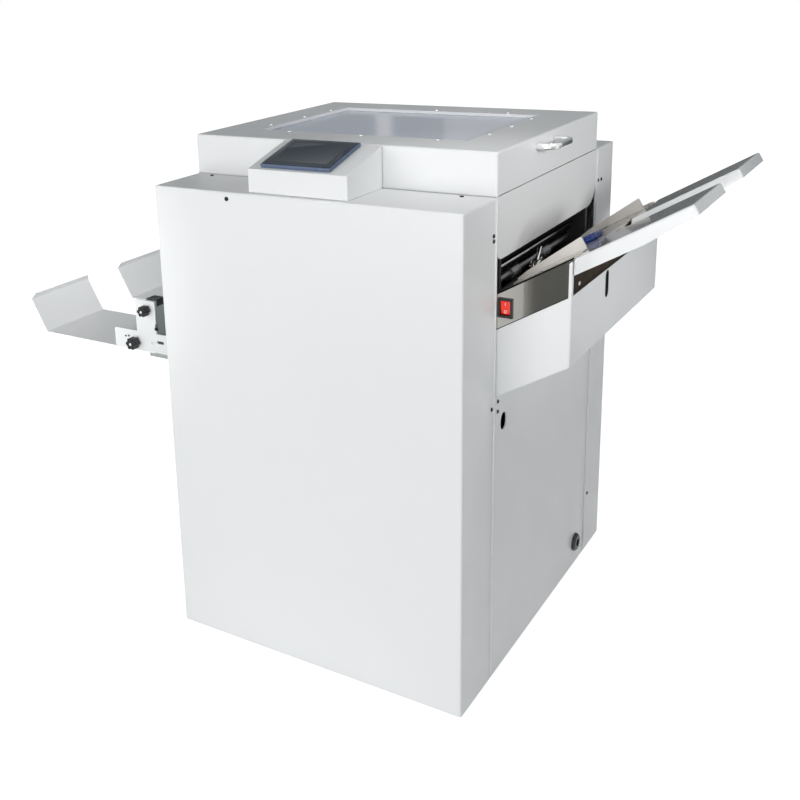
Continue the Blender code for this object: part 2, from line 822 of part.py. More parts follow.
def infeed_cover():
    """Plate over the mouth, with a narrow lip folded inwards along its lower edge."""
    near = Y_FRONT_SEAM + SEAM / 2
    far = Y_REAR_SEAM - SEAM / 2
    low = Z_LEDGE - INFEED_COVER_HEIGHT
    corners = [(near, low), (far, low), (far, Z_LEDGE), (near, Z_LEDGE)]
    outline = rounded(corners, [INFEED_FRONT_RADIUS, INFEED_REAR_RADIUS, 0, 0])
    made = plate("infeed_cover", outline, [], SHEET, "x", SIDE - SHEET / 2, PAINT)
    lip_low = (SIDE - SHEET - INFEED_LIP, INFEED_FRONT_RADIUS - FRAME_INNER, low)
    lip_high = (SIDE - SHEET / 2, FRAME_INNER - INFEED_REAR_RADIUS, low + SHEET)
    join(made, block("infeed_cover_lip", lip_low, lip_high, None))


def lip_drop():
    """How far below the table's surface the fascia's lip is clear of what it passes over."""
    return (FASCIA_SHEET + TOUCH) / cos(INCLINE)


def infeed_housing():
    """Sheet box that hangs on the cabinet's right side, open above, with a narrow column beside the fascia."""
    left = SIDE - OVERCUT
    end = HOUSING_END
    drop = FASCIA_HEIGHT + FASCIA_GAP
    cap = lip_drop() + BEND * SLOPE
    outline = [
        (left, table_z(left) - HOUSING_DROP),
        (end, table_z(end) - HOUSING_DROP),
        (end, table_z(end) - cap),
        (left, table_z(left) - cap),
    ]
    made = folded_profile("infeed_housing", outline, (0, 1), Y_FRONT_SEAM, Y_REAR_SEAM, SHEET, BEND, PAINT)

    def opening(label, right, near, far):
        left = SIDE - 2 * OVERCUT
        above = table_z(HOUSING_END) + OVERCUT
        corners = [(left, table_z(left) - drop), (right, table_z(right) - drop), (right, above), (left, above)]
        return plate(label, corners, [], far - near, "y", (near + far) / 2, None)

    front = opening("fascia_opening", end - COLUMN_FACE, Y_FRONT_SEAM - OVERCUT, Y_FRONT_SEAM + 2 * SHEET)
    rest = opening("housing_top", end + OVERCUT, Y_FRONT_SEAM + COLUMN_RETURN, Y_REAR_SEAM + OVERCUT)
    cut(made, front, rest)
    top = table_z(end) - drop - END_SLOT_DROP
    slot = oblong(END_SLOT_Y, top - END_SLOT_LENGTH / 2, END_SLOT_WIDTH, END_SLOT_LENGTH)
    cut(made, plate("end_slot", slot, [], 4 * SHEET, "x", end, None))
    low = (SIDE - PANEL_LAP, Y_FRONT_SEAM - OVERCUT, table_z(SIDE) - 2 * HOUSING_DROP)
    high = (SIDE + TOUCH, Y_REAR_SEAM + OVERCUT, table_z(SIDE))
    cut(made, block("housing_trim", low, high, None))


def switch_middle():
    x = SIDE + SWITCH_INSET + SWITCH_WIDTH / 2
    return x, table_z(x) - FASCIA_HEIGHT / 2


def infeed_fascia():
    """Stainless strip above the housing's front, with a lip over the frame's ear and the switch's cut-out."""
    left = SIDE + TOUCH
    right = HOUSING_END - COLUMN_FACE - TOUCH
    outline = [
        (left, table_z(left) - FASCIA_HEIGHT),
        (right, table_z(right) - FASCIA_HEIGHT),
        (right, table_z(right)),
        (left, table_z(left)),
    ]
    x, z = switch_middle()
    hole_width = SWITCH_WIDTH - 2 * SWITCH_RIM + 2 * TOUCH
    hole_height = SWITCH_HEIGHT - 2 * SWITCH_RIM + 2 * TOUCH
    hole = rectangle(x, z, hole_width, hole_height)
    middle = Y_FRONT_SEAM + FASCIA_SHEET / 2
    made = plate("infeed_fascia", outline, [hole], FASCIA_SHEET, "y", middle, STAINLESS)
    low = (TOUCH / cos(INCLINE) + FASCIA_SHEET, Y_FRONT_SEAM + FASCIA_SHEET / 2, -FASCIA_SHEET)
    high = (TABLE_OUTER, Y_FRONT_SEAM + FASCIA_LIP, 0)
    join(made, block("fascia_lip", low, high, None, PATH))


def switch():
    """Rocker switch: a black bezel in the fascia's cut-out and a red rocker on its pivot."""
    x, z = switch_middle()
    front = Y_FRONT_SEAM
    flange = block(
        "switch_bezel",
        (x - SWITCH_WIDTH / 2, front - TOUCH - SWITCH_PROUD, z - SWITCH_HEIGHT / 2),
        (x + SWITCH_WIDTH / 2, front - TOUCH, z + SWITCH_HEIGHT / 2),
        BLACK_PLASTIC,
    )
    half_width = SWITCH_WIDTH / 2 - SWITCH_RIM
    half_height = SWITCH_HEIGHT / 2 - SWITCH_RIM
    neck = block(
        "switch_neck",
        (x - half_width, front - TOUCH - SWITCH_PROUD / 2, z - half_height),
        (x + half_width, front + SWITCH_DEPTH, z + half_height),
        None,
    )
    well_x = half_width - SWITCH_RIM / 2
    well_z = half_height - SWITCH_RIM / 2
    well = block(
        "switch_well",
        (x - well_x, front - 2 * SWITCH_PROUD, z - well_z),
        (x + well_x, front + SWITCH_DEPTH - SWITCH_RIM, z + well_z),
        None,
    )
    join(flange, neck)
    cut(flange, well)
    half = well_z - 2 * TOUCH
    reach = half * sin(ROCKER_TILT)
    face = [
        (-half, reach),
        (0, -reach / 2),
        (half, -reach),
        (ROCKER_BACK / 2, ROCKER_THICK),
        (-ROCKER_BACK / 2, ROCKER_THICK),
    ]
    # The rocker's outline is (up, back) about its pivot, which runs along x.
    mesh = flat_mesh("switch_rocker", [(back, up) for up, back in face], [], 2 * (well_x - TOUCH))
    add("switch_rocker", mesh, RED_PLASTIC, (x, front, z), FACINGS["x"])


def feed_table():
    """Sloping stainless plate that the sheets slide down, with windows for everything that reaches through."""
    outline = [
        (-TABLE_INNER, -TABLE_HALF),
        (TABLE_OUTER, -TABLE_HALF),
        (TABLE_OUTER, TABLE_HALF),
        (-TABLE_INNER, TABLE_HALF),
    ]
    chord = (FEED_RADIUS**2 - (FEED_UP + TABLE_SHEET) ** 2) ** 0.5
    tyre = FEED_TYRE + 2 * FEED_WINDOW_CLEAR
    anvil_along = ANVIL_ALONG + 2 * ANVIL_CLEAR
    anvil_width = ANVIL_WIDTH + 2 * ANVIL_CLEAR
    neck_low = GUIDE_Y + GUIDE_NECK_Y - GUIDE_IN - GUIDE_NECK / 2 - SLOT_END
    neck_high = GUIDE_Y + GUIDE_NECK_Y + GUIDE_OUT + GUIDE_NECK / 2 + SLOT_END
    stop_low = STOP_ALONG - STOP_DOWN - STOP_SHEET / 2 - SLOT_END
    stop_high = STOP_ALONG + STOP_UP + STOP_SHEET / 2 + SLOT_END
    holes = [rectangle(FOLD_ALONG, 0, KNIFE_SLOT, KNIFE_WIDTH + 2 * SLOT_END)]
    for side in (-1, 1):
        feed_length = 2 * (chord + FEED_WINDOW_CLEAR)
        holes.append(rectangle(-FEED_ALONG, side * FEED_TYRE_Y, feed_length, tyre))
        holes.append(rectangle(STITCH_ALONG, side * HEAD_Y, anvil_along, anvil_width))
        middle = side * (neck_low + neck_high) / 2
        holes.append(oblong(GUIDE_SLOT_ALONG, middle, GUIDE_NECK + 2 * SLOT_CLEAR, neck_high - neck_low))
        middle = (stop_low + stop_high) / 2
        holes.append(oblong(middle, side * STOP_NECK_Y, stop_high - stop_low, STOP_NECK + 2 * SLOT_CLEAR))
    made = plate("feed_table", outline, holes, TABLE_SHEET, "z", -TABLE_SHEET / 2, STAINLESS, PATH)
    inner = HOUSING_END - SHEET - TOUCH
    half = TABLE_HALF - FLANGE_SIDE
    wing = -Y_FRONT_SEAM - SHEET - INNER_BEND
    low = table_z(inner) - FLANGE_DEPTH
    shoulder = table_z(inner - TABLE_SHEET) - lip_drop()
    high = table_z(inner) - TABLE_SHEET
    outline = [
        (-wing, low),
        (wing, low),
        (wing, shoulder),
        (half, shoulder),
        (half, high),
        (-half, high),
        (-half, shoulder),
        (-wing, shoulder),
    ]
    join(made, plate("table_flange", outline, [], TABLE_SHEET, "x", inner - TABLE_SHEET / 2, None))


def extension_arm(name, near, far):
    """Upside-down tray that carries on the table's surface, with its root wall upright beside the housing."""
    start = TABLE_OUTER + TABLE_SHEET * SLOPE + TOUCH
    outline = [
        (start - ARM_ROOT_FLANGE * SLOPE, -ARM_ROOT_FLANGE),
        (start + ARM_TAPER, -ARM_FLANGE),
        (ARM_TIP, -ARM_TIP_FLANGE),
        (ARM_TIP, 0),
        (start, 0),
    ]
    return folded_profile(name, outline, (2, 3, 4), near, far, ARM_SHEET, ARM_SHEET + INNER_BEND, PAINT, PATH)


def extension_arms():
    edge = -Y_FRONT_SEAM
    extension_arm("front_extension_arm", -edge, ARM_WIDTH - edge)
    extension_arm("rear_extension_arm", edge - ARM_WIDTH, edge)


def side_guide(name, side):
    """Fence that squares the stack, on a foot with a shoe hooked through the table's slot."""
    end = TABLE_OUTER - GUIDE_END_GAP
    bottom = TOUCH
    outline = [
        (GUIDE_START, bottom),
        (end, bottom),
        (end, GUIDE_HIGH - GUIDE_SHEET),
        (end - GUIDE_SHEET, GUIDE_HIGH),
        (GUIDE_START + GUIDE_TOE, GUIDE_LOW),
        (GUIDE_START, GUIDE_LOW / 2),
    ]
    made = plate(name, outline, [], GUIDE_SHEET, "y", 0, STAINLESS, PATH)
    made.location.y = side * (GUIDE_Y + GUIDE_SHEET / 2)

    def part(label, along, across, up):
        near, far = sorted((side * across[0], side * across[1]))
        low = (along[0], near, up[0])
        high = (along[1], far, up[1])
        return block(f"{name}_{label}", low, high, None, PATH)

    neck = (GUIDE_SLOT_ALONG - GUIDE_NECK / 2, GUIDE_SLOT_ALONG + GUIDE_NECK / 2)
    shoe = (GUIDE_SLOT_ALONG - GUIDE_SHOE / 2, GUIDE_SLOT_ALONG + GUIDE_SHOE / 2)
    middle = GUIDE_Y + GUIDE_NECK_Y
    under = -TABLE_SHEET - TOUCH
    foot = part("foot", (GUIDE_START, end), (GUIDE_Y, GUIDE_Y + GUIDE_FOOT), (bottom, bottom + GUIDE_SHEET))
    stem = part(
        "stem",
        neck,
        (middle - GUIDE_NECK / 2, middle + GUIDE_NECK / 2),
        (under - GUIDE_SHOE_THICK / 2, bottom + GUIDE_SHEET / 2),
    )
    under_shoe = part(
        "shoe",
        shoe,
        (middle - GUIDE_NECK, middle + GUIDE_NECK),
        (under - GUIDE_SHOE_THICK, under),
    )
    join(made, foot, stem, under_shoe)


def roller(name, along, up, parts, look, extra=None):
    """Roller with journals in both frames. parts lists (start, end, radius) along its axis."""
    half = FRAME_OUTER + JOURNAL_PROUD
    profile = [(0, half), (JOURNAL, half)]
    for start, end, radius in sorted(parts, reverse=True):
        profile += [(JOURNAL, end), (radius, end), (radius, start), (JOURNAL, start)]
    profile += [(JOURNAL, -half), (0, -half)]
    if extra:
        profile = profile[:-2] + extra
    x, z = on_path(along, up)
    return turned(name, profile, look, (x, 0, z), ALONG_Y)


def tyres(middle, width, radius):
    return [(side * middle - width / 2, side * middle + width / 2, radius) for side in (-1, 1)]


def feed_rollers():
    roller("feed_roller", -FEED_ALONG, FEED_UP, tyres(FEED_TYRE_Y, FEED_TYRE, FEED_RADIUS), RUBBER)
    roller("press_roller", -FEED_ALONG, PRESS_UP, tyres(FEED_TYRE_Y, PRESS_TYRE, PRESS_RADIUS), STEEL)


def delivery_rollers():
    half = EXIT_RADIUS + EXIT_NIP / 2
    for name, side, look in (("delivery_roller_lower", -1, RUBBER), ("delivery_roller_upper", 1, STEEL)):
        made = roller(name, 0, 0, tyres(EXIT_TYRE_Y, EXIT_TYRE, EXIT_RADIUS), look)
        made.location = (EXIT_X, 0, EXIT_Z + side * half)


def gear_outline(pitch, teeth, first):
    """Straight-flanked teeth, with a tooth's middle at the angle first."""
    step = 2 * pi / teeth
    tip = pitch + TOOTH_TIP * TOOTH_SIZE
    root = pitch - TOOTH_ROOT * TOOTH_SIZE
    points = []
    for index in range(teeth):
        middle = first + index * step
        for radius, share in (
            (root, -TOOTH_ROOT_SHARE),
            (tip, -TOOTH_TIP_SHARE),
            (tip, TOOTH_TIP_SHARE),
            (root, TOOTH_ROOT_SHARE),
        ):
            turn = middle + share * step
            points.append((radius * cos(turn), radius * sin(turn)))
    return points


def gear(name, along, up, pitch, teeth, first, look):
    x, z = on_path(along, up)
    outline = gear_outline(pitch, teeth, first + INCLINE)
    mesh = flat_mesh(name, outline, [], GEAR_WIDTH)
    middle = -FRAME_INNER + GEAR_SIDE_GAP + GEAR_WIDTH / 2
    return add(name, mesh, look, (x, middle, z), FACINGS["y"])


def fold_rollers():
    """Two steel fold rollers whose gears mesh, and the motor's pinion that drives the right one."""
    body = [(-FOLD_LENGTH / 2, FOLD_LENGTH / 2, FOLD_RADIUS)]
    tooth = 2 * pi / GEAR_TEETH
    facing = PINION_ANGLE % tooth
    left = FOLD_ALONG - FOLD_HALF
    right = FOLD_ALONG + FOLD_HALF
    # The right gear has a tooth towards the pinion, and the left gear a gap where the right one has a tooth.
    right_first = facing
    left_first = (pi - right_first + tooth / 2) % tooth
    made = roller("fold_roller_right", right, FOLD_UP, body, STEEL)
    join(made, gear("fold_gear_right", right, FOLD_UP, GEAR_PITCH, GEAR_TEETH, right_first, None))
    made = roller("fold_roller_left", left, FOLD_UP, body, STEEL)
    join(made, gear("fold_gear_left", left, FOLD_UP, GEAR_PITCH, GEAR_TEETH, left_first, None))
    pinion_tooth = 2 * pi / PINION_TEETH
    first = PINION_ANGLE + pi + pinion_tooth / 2
    pinion = gear("motor_pinion", PINION_ALONG, PINION_UP, PINION_PITCH, PINION_TEETH, first, DARK_STEEL)
    shaft = [
        (0, GEAR_WIDTH / 2),
        (PINION_SHAFT, GEAR_WIDTH / 2),
        (PINION_SHAFT, -(FRAME_SHEET + GEAR_SIDE_GAP + GEAR_WIDTH / 2)),
        (0, -(FRAME_SHEET + GEAR_SIDE_GAP + GEAR_WIDTH / 2)),
    ]
    x, z = on_path(PINION_ALONG, PINION_UP)
    middle = -FRAME_INNER + GEAR_SIDE_GAP + GEAR_WIDTH / 2
    place = (x, middle, z)
    join(pinion, turned("pinion_shaft", shaft, None, place, ALONG_Y, steps=SMALL_STEPS))


def drive_motor():
    """Gear motor on the outside of the front frame, in the front cover's space."""
    x, z = on_path(PINION_ALONG, PINION_UP)
    front = -TOUCH - MOTOR_LENGTH
    profile = [
        (0, -TOUCH),
        (MOTOR_RADIUS, -TOUCH),
        (MOTOR_RADIUS, front + MOTOR_BOSS_LENGTH),
        (MOTOR_BOSS, front + MOTOR_BOSS_LENGTH),
        (MOTOR_BOSS, front),
        (0, front),
    ]
    turned("drive_motor", profile, DARK_STEEL, (x, -FRAME_OUTER, z), ALONG_Y)


def fold_knife():
    """Thin blade on a beam that runs between the frames and pushes the stack up into the fold rollers."""
    top = -TABLE_SHEET - KNIFE_REST
    low = (FOLD_ALONG - KNIFE_SHEET / 2, -KNIFE_WIDTH / 2, top - KNIFE_BLADE)
    high = (FOLD_ALONG + KNIFE_SHEET / 2, KNIFE_WIDTH / 2, top)
    made = block("fold_knife", low, high, STAINLESS, PATH)
    half = FRAME_INNER - TOUCH
    beam_top = top - KNIFE_BLADE + KNIFE_BEAM_THICK / 2
    low = (FOLD_ALONG - KNIFE_BEAM / 2, -half, beam_top - KNIFE_BEAM_THICK)
    high = (FOLD_ALONG + KNIFE_BEAM / 2, half, beam_top)
    join(made, block("knife_beam", low, high, None, PATH))


def head_block(name, side, along, across, up, look=None):
    low = (STITCH_ALONG - along / 2, side * HEAD_Y - across / 2, up[0])
    high = (STITCH_ALONG + along / 2, side * HEAD_Y + across / 2, up[1])
    return block(name, low, high, look, PATH)


def stitch_head(name, side):
    """Stitching head: a block with a narrow nose, a stepped cap, side pockets and a channel for its driver."""
    nose_top = HEAD_LIFT + HEAD_NOSE
    cap_low = HEAD_TOP - HEAD_CAP
    made = head_block(name, side, HEAD_ALONG, HEAD_WIDTH, (nose_top, cap_low), STEEL)
    nose = head_block(name + "_nose", side, HEAD_NOSE_WIDTH, HEAD_NOSE_WIDTH, (HEAD_LIFT, nose_top + OVERCUT))
    cap_along = HEAD_ALONG - 2 * HEAD_CAP_INSET
    cap_across = HEAD_WIDTH - 2 * HEAD_CAP_INSET
    cap = head_block(name + "_cap", side, cap_along, cap_across, (cap_low - OVERCUT, HEAD_TOP))
    join(made, nose, cap)
    for wall in (-1, 1):
        centre = side * HEAD_Y + wall * HEAD_WIDTH / 2
        pocket_low = nose_top + HEAD_CAP
        low = (STITCH_ALONG - HEAD_POCKET / 2, centre - HEAD_POCKET_DEPTH, pocket_low)
        high = (STITCH_ALONG + HEAD_POCKET / 2, centre + HEAD_POCKET_DEPTH, cap_low - HEAD_CAP)
        cut(made, block(f"{name}_pocket_{wall}", low, high, None, PATH))
    channel = DRIVER_WIDTH + 2 * TOUCH
    cut(made, head_block(name + "_channel", side, channel, channel, (0, HEAD_TOP + OVERCUT)))


def stitch_driver(name, side):
    """Bar that slides through the head and drives the wire staple."""
    low = DRIVER_STROKE + TABLE_SHEET / 2
    top = HEAD_TOP + DRIVER_PROUD
    made = head_block(name, side, DRIVER_WIDTH, DRIVER_WIDTH, (low, top), DARK_STEEL)
    knob = head_block(name + "_head", side, DRIVER_HEAD, DRIVER_HEAD, (top - DRIVER_HEAD_THICK, top))
    join(made, knob)


def stitching():
    for name, side in (("front", -1), ("rear", 1)):
        stitch_head(name + "_stitch_head", side)
        stitch_driver(name + "_stitch_driver", side)
    half = FRAME_INNER - TOUCH
    start = STITCH_ALONG + HEAD_ALONG / 2 + TOUCH
    block("head_rail", (start, -half, RAIL_LOW), (start + RAIL_ALONG, half, RAIL_HIGH), STEEL, PATH)
    top = -TABLE_SHEET - TOUCH
    low = (STITCH_ALONG - CLINCH_ALONG / 2, -half, top - CLINCH_DEPTH)
    high = (STITCH_ALONG + CLINCH_ALONG / 2, half, top)
    bar = block("clincher_bar", low, high, STEEL, PATH)
    for side in (-1, 1):
        anvil = head_block(f"anvil_{side}", side, ANVIL_ALONG, ANVIL_WIDTH, (top - OVERCUT, -ANVIL_SINK))
        join(bar, anvil)


def spools():
    """Two reels of stitching wire on one shaft above the heads."""
    x, z = on_path(STITCH_ALONG - SPOOL_ALONG, SPOOL_LIFT)
    half = FRAME_OUTER + JOURNAL_PROUD
    profile = [(0, half), (SPOOL_SHAFT, half), (SPOOL_SHAFT, -half), (0, -half)]
    turned("spool_shaft", profile, STEEL, (x, 0, z), ALONG_Y)
    bore = SPOOL_SHAFT + TOUCH
    outer = SPOOL_WIDTH / 2
    inner = outer - SPOOL_WALL
    profile = [
        (bore, outer),
        (SPOOL_RADIUS, outer),
        (SPOOL_RADIUS, inner),
        (SPOOL_WIRE, inner),
        (SPOOL_WIRE, -inner),
        (SPOOL_RADIUS, -inner),
        (SPOOL_RADIUS, -outer),
        (bore, -outer),
    ]
    for name, side in (("front", -1), ("rear", 1)):
        place = (x, side * HEAD_Y, z)
        turned(name + "_wire_spool", profile, COPPER_WIRE, place, ALONG_Y, closed=True)


def stop_gate():
    """Gate that the stack's lower edge lands on, with two stems through the table to a cross bar below."""
    low = (STOP_ALONG - STOP_SHEET / 2, -STOP_WIDTH / 2, TOUCH)
    high = (STOP_ALONG + STOP_SHEET / 2, STOP_WIDTH / 2, STOP_HEIGHT)
    made = block("stop_gate", low, high, STEEL, PATH)
    top = -TABLE_SHEET - STOP_DROP
    for side in (-1, 1):
        middle = side * STOP_NECK_Y
        low = (STOP_ALONG - STOP_SHEET / 2, middle - STOP_NECK / 2, top - STOP_SHOE_THICK / 2)
        high = (STOP_ALONG + STOP_SHEET / 2, middle + STOP_NECK / 2, STOP_HEIGHT / 2)
        join(made, block(f"stop_stem_{side}", low, high, None, PATH))
    half = FRAME_INNER - TOUCH
    low = (STOP_ALONG - STOP_SHOE / 2, -half, top - STOP_SHOE_THICK)
    high = (STOP_ALONG + STOP_SHOE / 2, half, top)
    join(made, block("stop_bar", low, high, None, PATH))


def delivery_chute():
    """Bent sheet that turns the folded booklet from the fold rollers to the exit."""
    start = on_path(FOLD_ALONG - CHUTE_SIDE, CHUTE_START)
    bend = on_path(FOLD_ALONG - CHUTE_SIDE, CHUTE_START + CHUTE_BEND)
    end_x = EXIT_X + EXIT_RADIUS + CHUTE_END_GAP
    end = (end_x, EXIT_Z - CHUTE_DROP)
    between = ((bend[0] + end[0]) / 2, max(bend[1], end[1]))
    half = FRAME_INNER - TOUCH
    bent_sheet("delivery_chute", [start, bend, between, end], -half, half, CHUTE_SHEET, STAINLESS)


def post_right():
    return -SIDE - ARM_TAB_REACH + ARM_TAB_WIDTH


def delivery_tray(name, side):
    """Folded tray half: a flat bottom, a leaning end wall with a folded lip, and a flange beside the arm."""
    outer = TRAY_OUTER_Y - TOUCH
    near, far = sorted((side * TRAY_INNER_Y, side * (outer - TRAY_SHEET / 2)))
    profile = [
        (TRAY_X + TRAY_LENGTH, TRAY_Z),
        (TRAY_X, TRAY_Z),
        (TRAY_X - TRAY_LEAN, TRAY_Z + TRAY_RISE),
        (TRAY_X - TRAY_LEAN + LIP_LEAN, TRAY_Z + TRAY_RISE + LIP_RISE),
    ]
    made = bent_sheet(name, profile, near, far, TRAY_SHEET, PAINT)
    lip_low = TRAY_Z + TRAY_RISE + TRAY_SHEET
    lip_high = TRAY_Z + TRAY_RISE + 2 * LIP_RISE
    for end, inward in ((near, 1), (far, -1)):
        corner = [
            (end - inward * OVERCUT, lip_low),
            (end, lip_low),
            (end + inward * 2 * LIP_CORNER, lip_high),
            (end - inward * OVERCUT, lip_high),
        ]
        middle_x = TRAY_X - TRAY_LEAN
        cut(made, plate(f"{name}_corner_{inward}", corner, [], 4 * LIP_RISE, "x", middle_x, None))
    post_left = post_right() - POST_WIDTH
    notch_left = post_left - TRAY_IN - TRAY_NOTCH
    notch_depth = POST_WIDTH + POST_GAP + TRAY_SHEET + TRAY_NOTCH
    notch_near, notch_far = sorted((side * (outer + OVERCUT), side * (outer - notch_depth)))
    notch = block(
        name + "_notch",
        (notch_left, notch_near, TRAY_Z - OVERCUT),
        (TRAY_X + TRAY_LENGTH + OVERCUT, notch_far, TRAY_Z + OVERCUT),
        None,
    )
    cut(made, notch)
    stud_x = -SIDE - LOWER_KNOB_REACH
    slot_left = stud_x - TRAY_IN - KNOB_STUD - TOUCH
    slot_right = stud_x + TRAY_OUT + KNOB_STUD + TOUCH
    left = -SIDE - ARM_BAR_REACH + ARM_CORNER
    right = slot_right + 2 * ARM_CORNER
    corners = [(left, TRAY_Z), (right, TRAY_Z), (right, TRAY_Z + TRAY_FLANGE), (left, TRAY_Z + TRAY_FLANGE)]
    width = slot_right - slot_left
    height = 2 * (KNOB_STUD + TOUCH)
    slot = oblong((slot_left + slot_right) / 2, TRAY_Z + LOWER_KNOB_RISE, width, height)
    middle = side * (outer - TRAY_SHEET / 2)
    join(made, plate(name + "_flange", corners, [slot], TRAY_SHEET, "y", middle, None))


def delivery_arm(name, side):
    """White plate beside the tray: a bar that holds the tray and a tab that climbs the post."""
    left = -SIDE - ARM_BAR_REACH
    right = -SIDE - ARM_BAR_GAP
    low = TRAY_Z + ARM_BAR_LIFT
    high = low + ARM_BAR_HEIGHT
    tab_left = -SIDE - ARM_TAB_REACH
    tab_right = tab_left + ARM_TAB_WIDTH
    corners = [
        (left, low),
        (right, low),
        (right, high),
        (tab_right, high),
        (tab_right, high + ARM_TAB_HEIGHT),
        (tab_left, high + ARM_TAB_HEIGHT),
        (tab_left, high),
        (left, high),
    ]
    radii = [ARM_CORNER, ARM_CORNER, ARM_CORNER, 0, ARM_CORNER, ARM_CORNER, 0, ARM_CORNER]
    stud = KNOB_STUD + TOUCH
    upper = circle(tab_left + UPPER_KNOB_SHIFT, high + UPPER_KNOB_RISE, stud, SMALL_STEPS)
    lower = circle(-SIDE - LOWER_KNOB_REACH, TRAY_Z + LOWER_KNOB_RISE, stud, SMALL_STEPS)
    slot = oblong(-SIDE - ARM_SLOT_REACH, TRAY_Z + LOWER_KNOB_RISE + ARM_SLOT_WIDTH, ARM_SLOT_LENGTH, ARM_SLOT_WIDTH)
    middle = side * (TRAY_OUTER_Y + ARM_BAR_SHEET / 2)
    made = plate(name, rounded(corners, radii, 2), [upper, lower, slot], ARM_BAR_SHEET, "y", middle, PAINT)
    pad_outer = TRAY_OUTER_Y + ARM_BAR_SHEET / 2
    pad_inner = TRAY_OUTER_Y - TRAY_SHEET - POST_GAP + TOUCH
    pad_x = tab_left + ARM_TAB_WIDTH / 2
    pad_z = high + ARM_TAB_HEIGHT / 2
    pad = rectangle(pad_x, pad_z, ARM_TAB_WIDTH - 2 * ARM_PAD_INSET, ARM_TAB_HEIGHT - 2 * ARM_PAD_INSET)
    bore = circle(tab_left + UPPER_KNOB_SHIFT, high + UPPER_KNOB_RISE, stud + TOUCH, SMALL_STEPS)
    pad_middle = side * (pad_outer + pad_inner) / 2
    join(made, plate(name + "_pad", pad, [bore], pad_outer - pad_inner, "y", pad_middle, None))


def delivery_post(name, side):
    """Square tube on the cabinet's left panel that the arm's tab slides on."""
    right = post_right()
    left = right - POST_WIDTH
    outer = TRAY_OUTER_Y - TRAY_SHEET - POST_GAP
    near, far = sorted((side * outer, side * (outer - POST_WIDTH)))
    low = TRAY_Z - POST_DROP
    made = block(name, (left, near, low), (right, far, TRAY_Z + POST_TOP), STEEL)
    bracket = block(
        name + "_bracket",
        (left, near, low),
        (-SIDE - TOUCH - POST_FLANGE_THICK / 2, far, low + POST_BRACKET),
        None,
    )
    middle_y = (near + far) / 2
    middle_z = low + POST_BRACKET / 2
    outline = rounded(rectangle(middle_y, middle_z, POST_FLANGE, POST_FLANGE), [BEND] * 4, 2)
    middle_x = -SIDE - TOUCH - POST_FLANGE_THICK / 2
    flange = plate(name + "_flange", outline, [], POST_FLANGE_THICK, "x", middle_x, None)
    join(made, bracket, flange)


def clamp_knob(name, x, z, side, stud_end):
    """Lobed plastic knob with its stud, on an axis along y through the arm."""
    face = TRAY_OUTER_Y + ARM_BAR_SHEET + TOUCH
    points = []
    count = KNOB_LOBES * 4
    for index in range(count):
        turn = 2 * pi * index / count
        radius = KNOB_RADIUS - KNOB_LOBE_DEPTH * (1 - cos(KNOB_LOBES * turn)) / 2
        points.append((radius * cos(turn), radius * sin(turn)))
    start = face + KNOB_NECK_LENGTH
    mesh = flat_mesh(name, points, [], KNOB_THICK)
    made = add(name, mesh, BLACK_PLASTIC, (x, side * (start + KNOB_THICK / 2), z), FACINGS["y"])
    half = KNOB_THICK / 2
    tip = stud_end - start - half
    stem = [
        (0, half / 2),
        (KNOB_NECK, half / 2),
        (KNOB_NECK, -half - KNOB_NECK_LENGTH),
        (KNOB_STUD, -half - KNOB_NECK_LENGTH),
        (KNOB_STUD, tip),
        (0, tip),
    ]
    turn = ALONG_Y if side > 0 else (pi / 2, 0, 0)
    place = (x, side * (start + half), z)
    join(made, turned(name + "_stem", stem, None, place, turn, steps=SMALL_STEPS))


def delivery():
    upper_x = -SIDE - ARM_TAB_REACH + UPPER_KNOB_SHIFT
    upper_z = TRAY_Z + ARM_BAR_LIFT + ARM_BAR_HEIGHT + UPPER_KNOB_RISE
    lower_x = -SIDE - LOWER_KNOB_REACH
    lower_z = TRAY_Z + LOWER_KNOB_RISE
    for name, side in (("front", -1), ("rear", 1)):
        delivery_tray(name + "_delivery_tray", side)
        delivery_arm(name + "_delivery_arm", side)
        delivery_post(name + "_delivery_post", side)
        clamp_knob(name + "_height_knob", upper_x, upper_z, side, TRAY_OUTER_Y - TRAY_SHEET)
        clamp_knob(name + "_tray_knob", lower_x, lower_z, side, TRAY_OUTER_Y - LOWER_STUD)


def lid():
    """Folded lid with its window opening, the clear window under it and the bright pull on its right wall."""
    low = (-SIDE, Y_FRONT_SEAM, Z_LEDGE + SEAM)
    high = (SIDE, Y_REAR_SEAM, Z_TOP)
    made = folded_box("lid", low, high, [(0, 0, -1)], SHEET, BEND, PAINT)
    pane = Z_TOP - WINDOW_DEPTH
    low = (WINDOW_LEFT - SHEET, WINDOW_FRONT - SHEET, pane)
    high = (WINDOW_RIGHT + SHEET, WINDOW_REAR + SHEET, Z_TOP - SHEET / 2)
    join(made, block("window_rim", low, high, None))
    low = (WINDOW_LEFT, WINDOW_FRONT, pane - OVERCUT)
    high = (WINDOW_RIGHT, WINDOW_REAR, Z_TOP + OVERCUT)
    cut(made, block("window_opening", low, high, None))
    low = (WINDOW_LEFT - WINDOW_LAP, WINDOW_FRONT - WINDOW_LAP, pane - TOUCH - WINDOW_SHEET)
    high = (WINDOW_RIGHT + WINDOW_LAP, WINDOW_REAR + WINDOW_LAP, pane - TOUCH)
    block("lid_window", low, high, ACRYLIC)


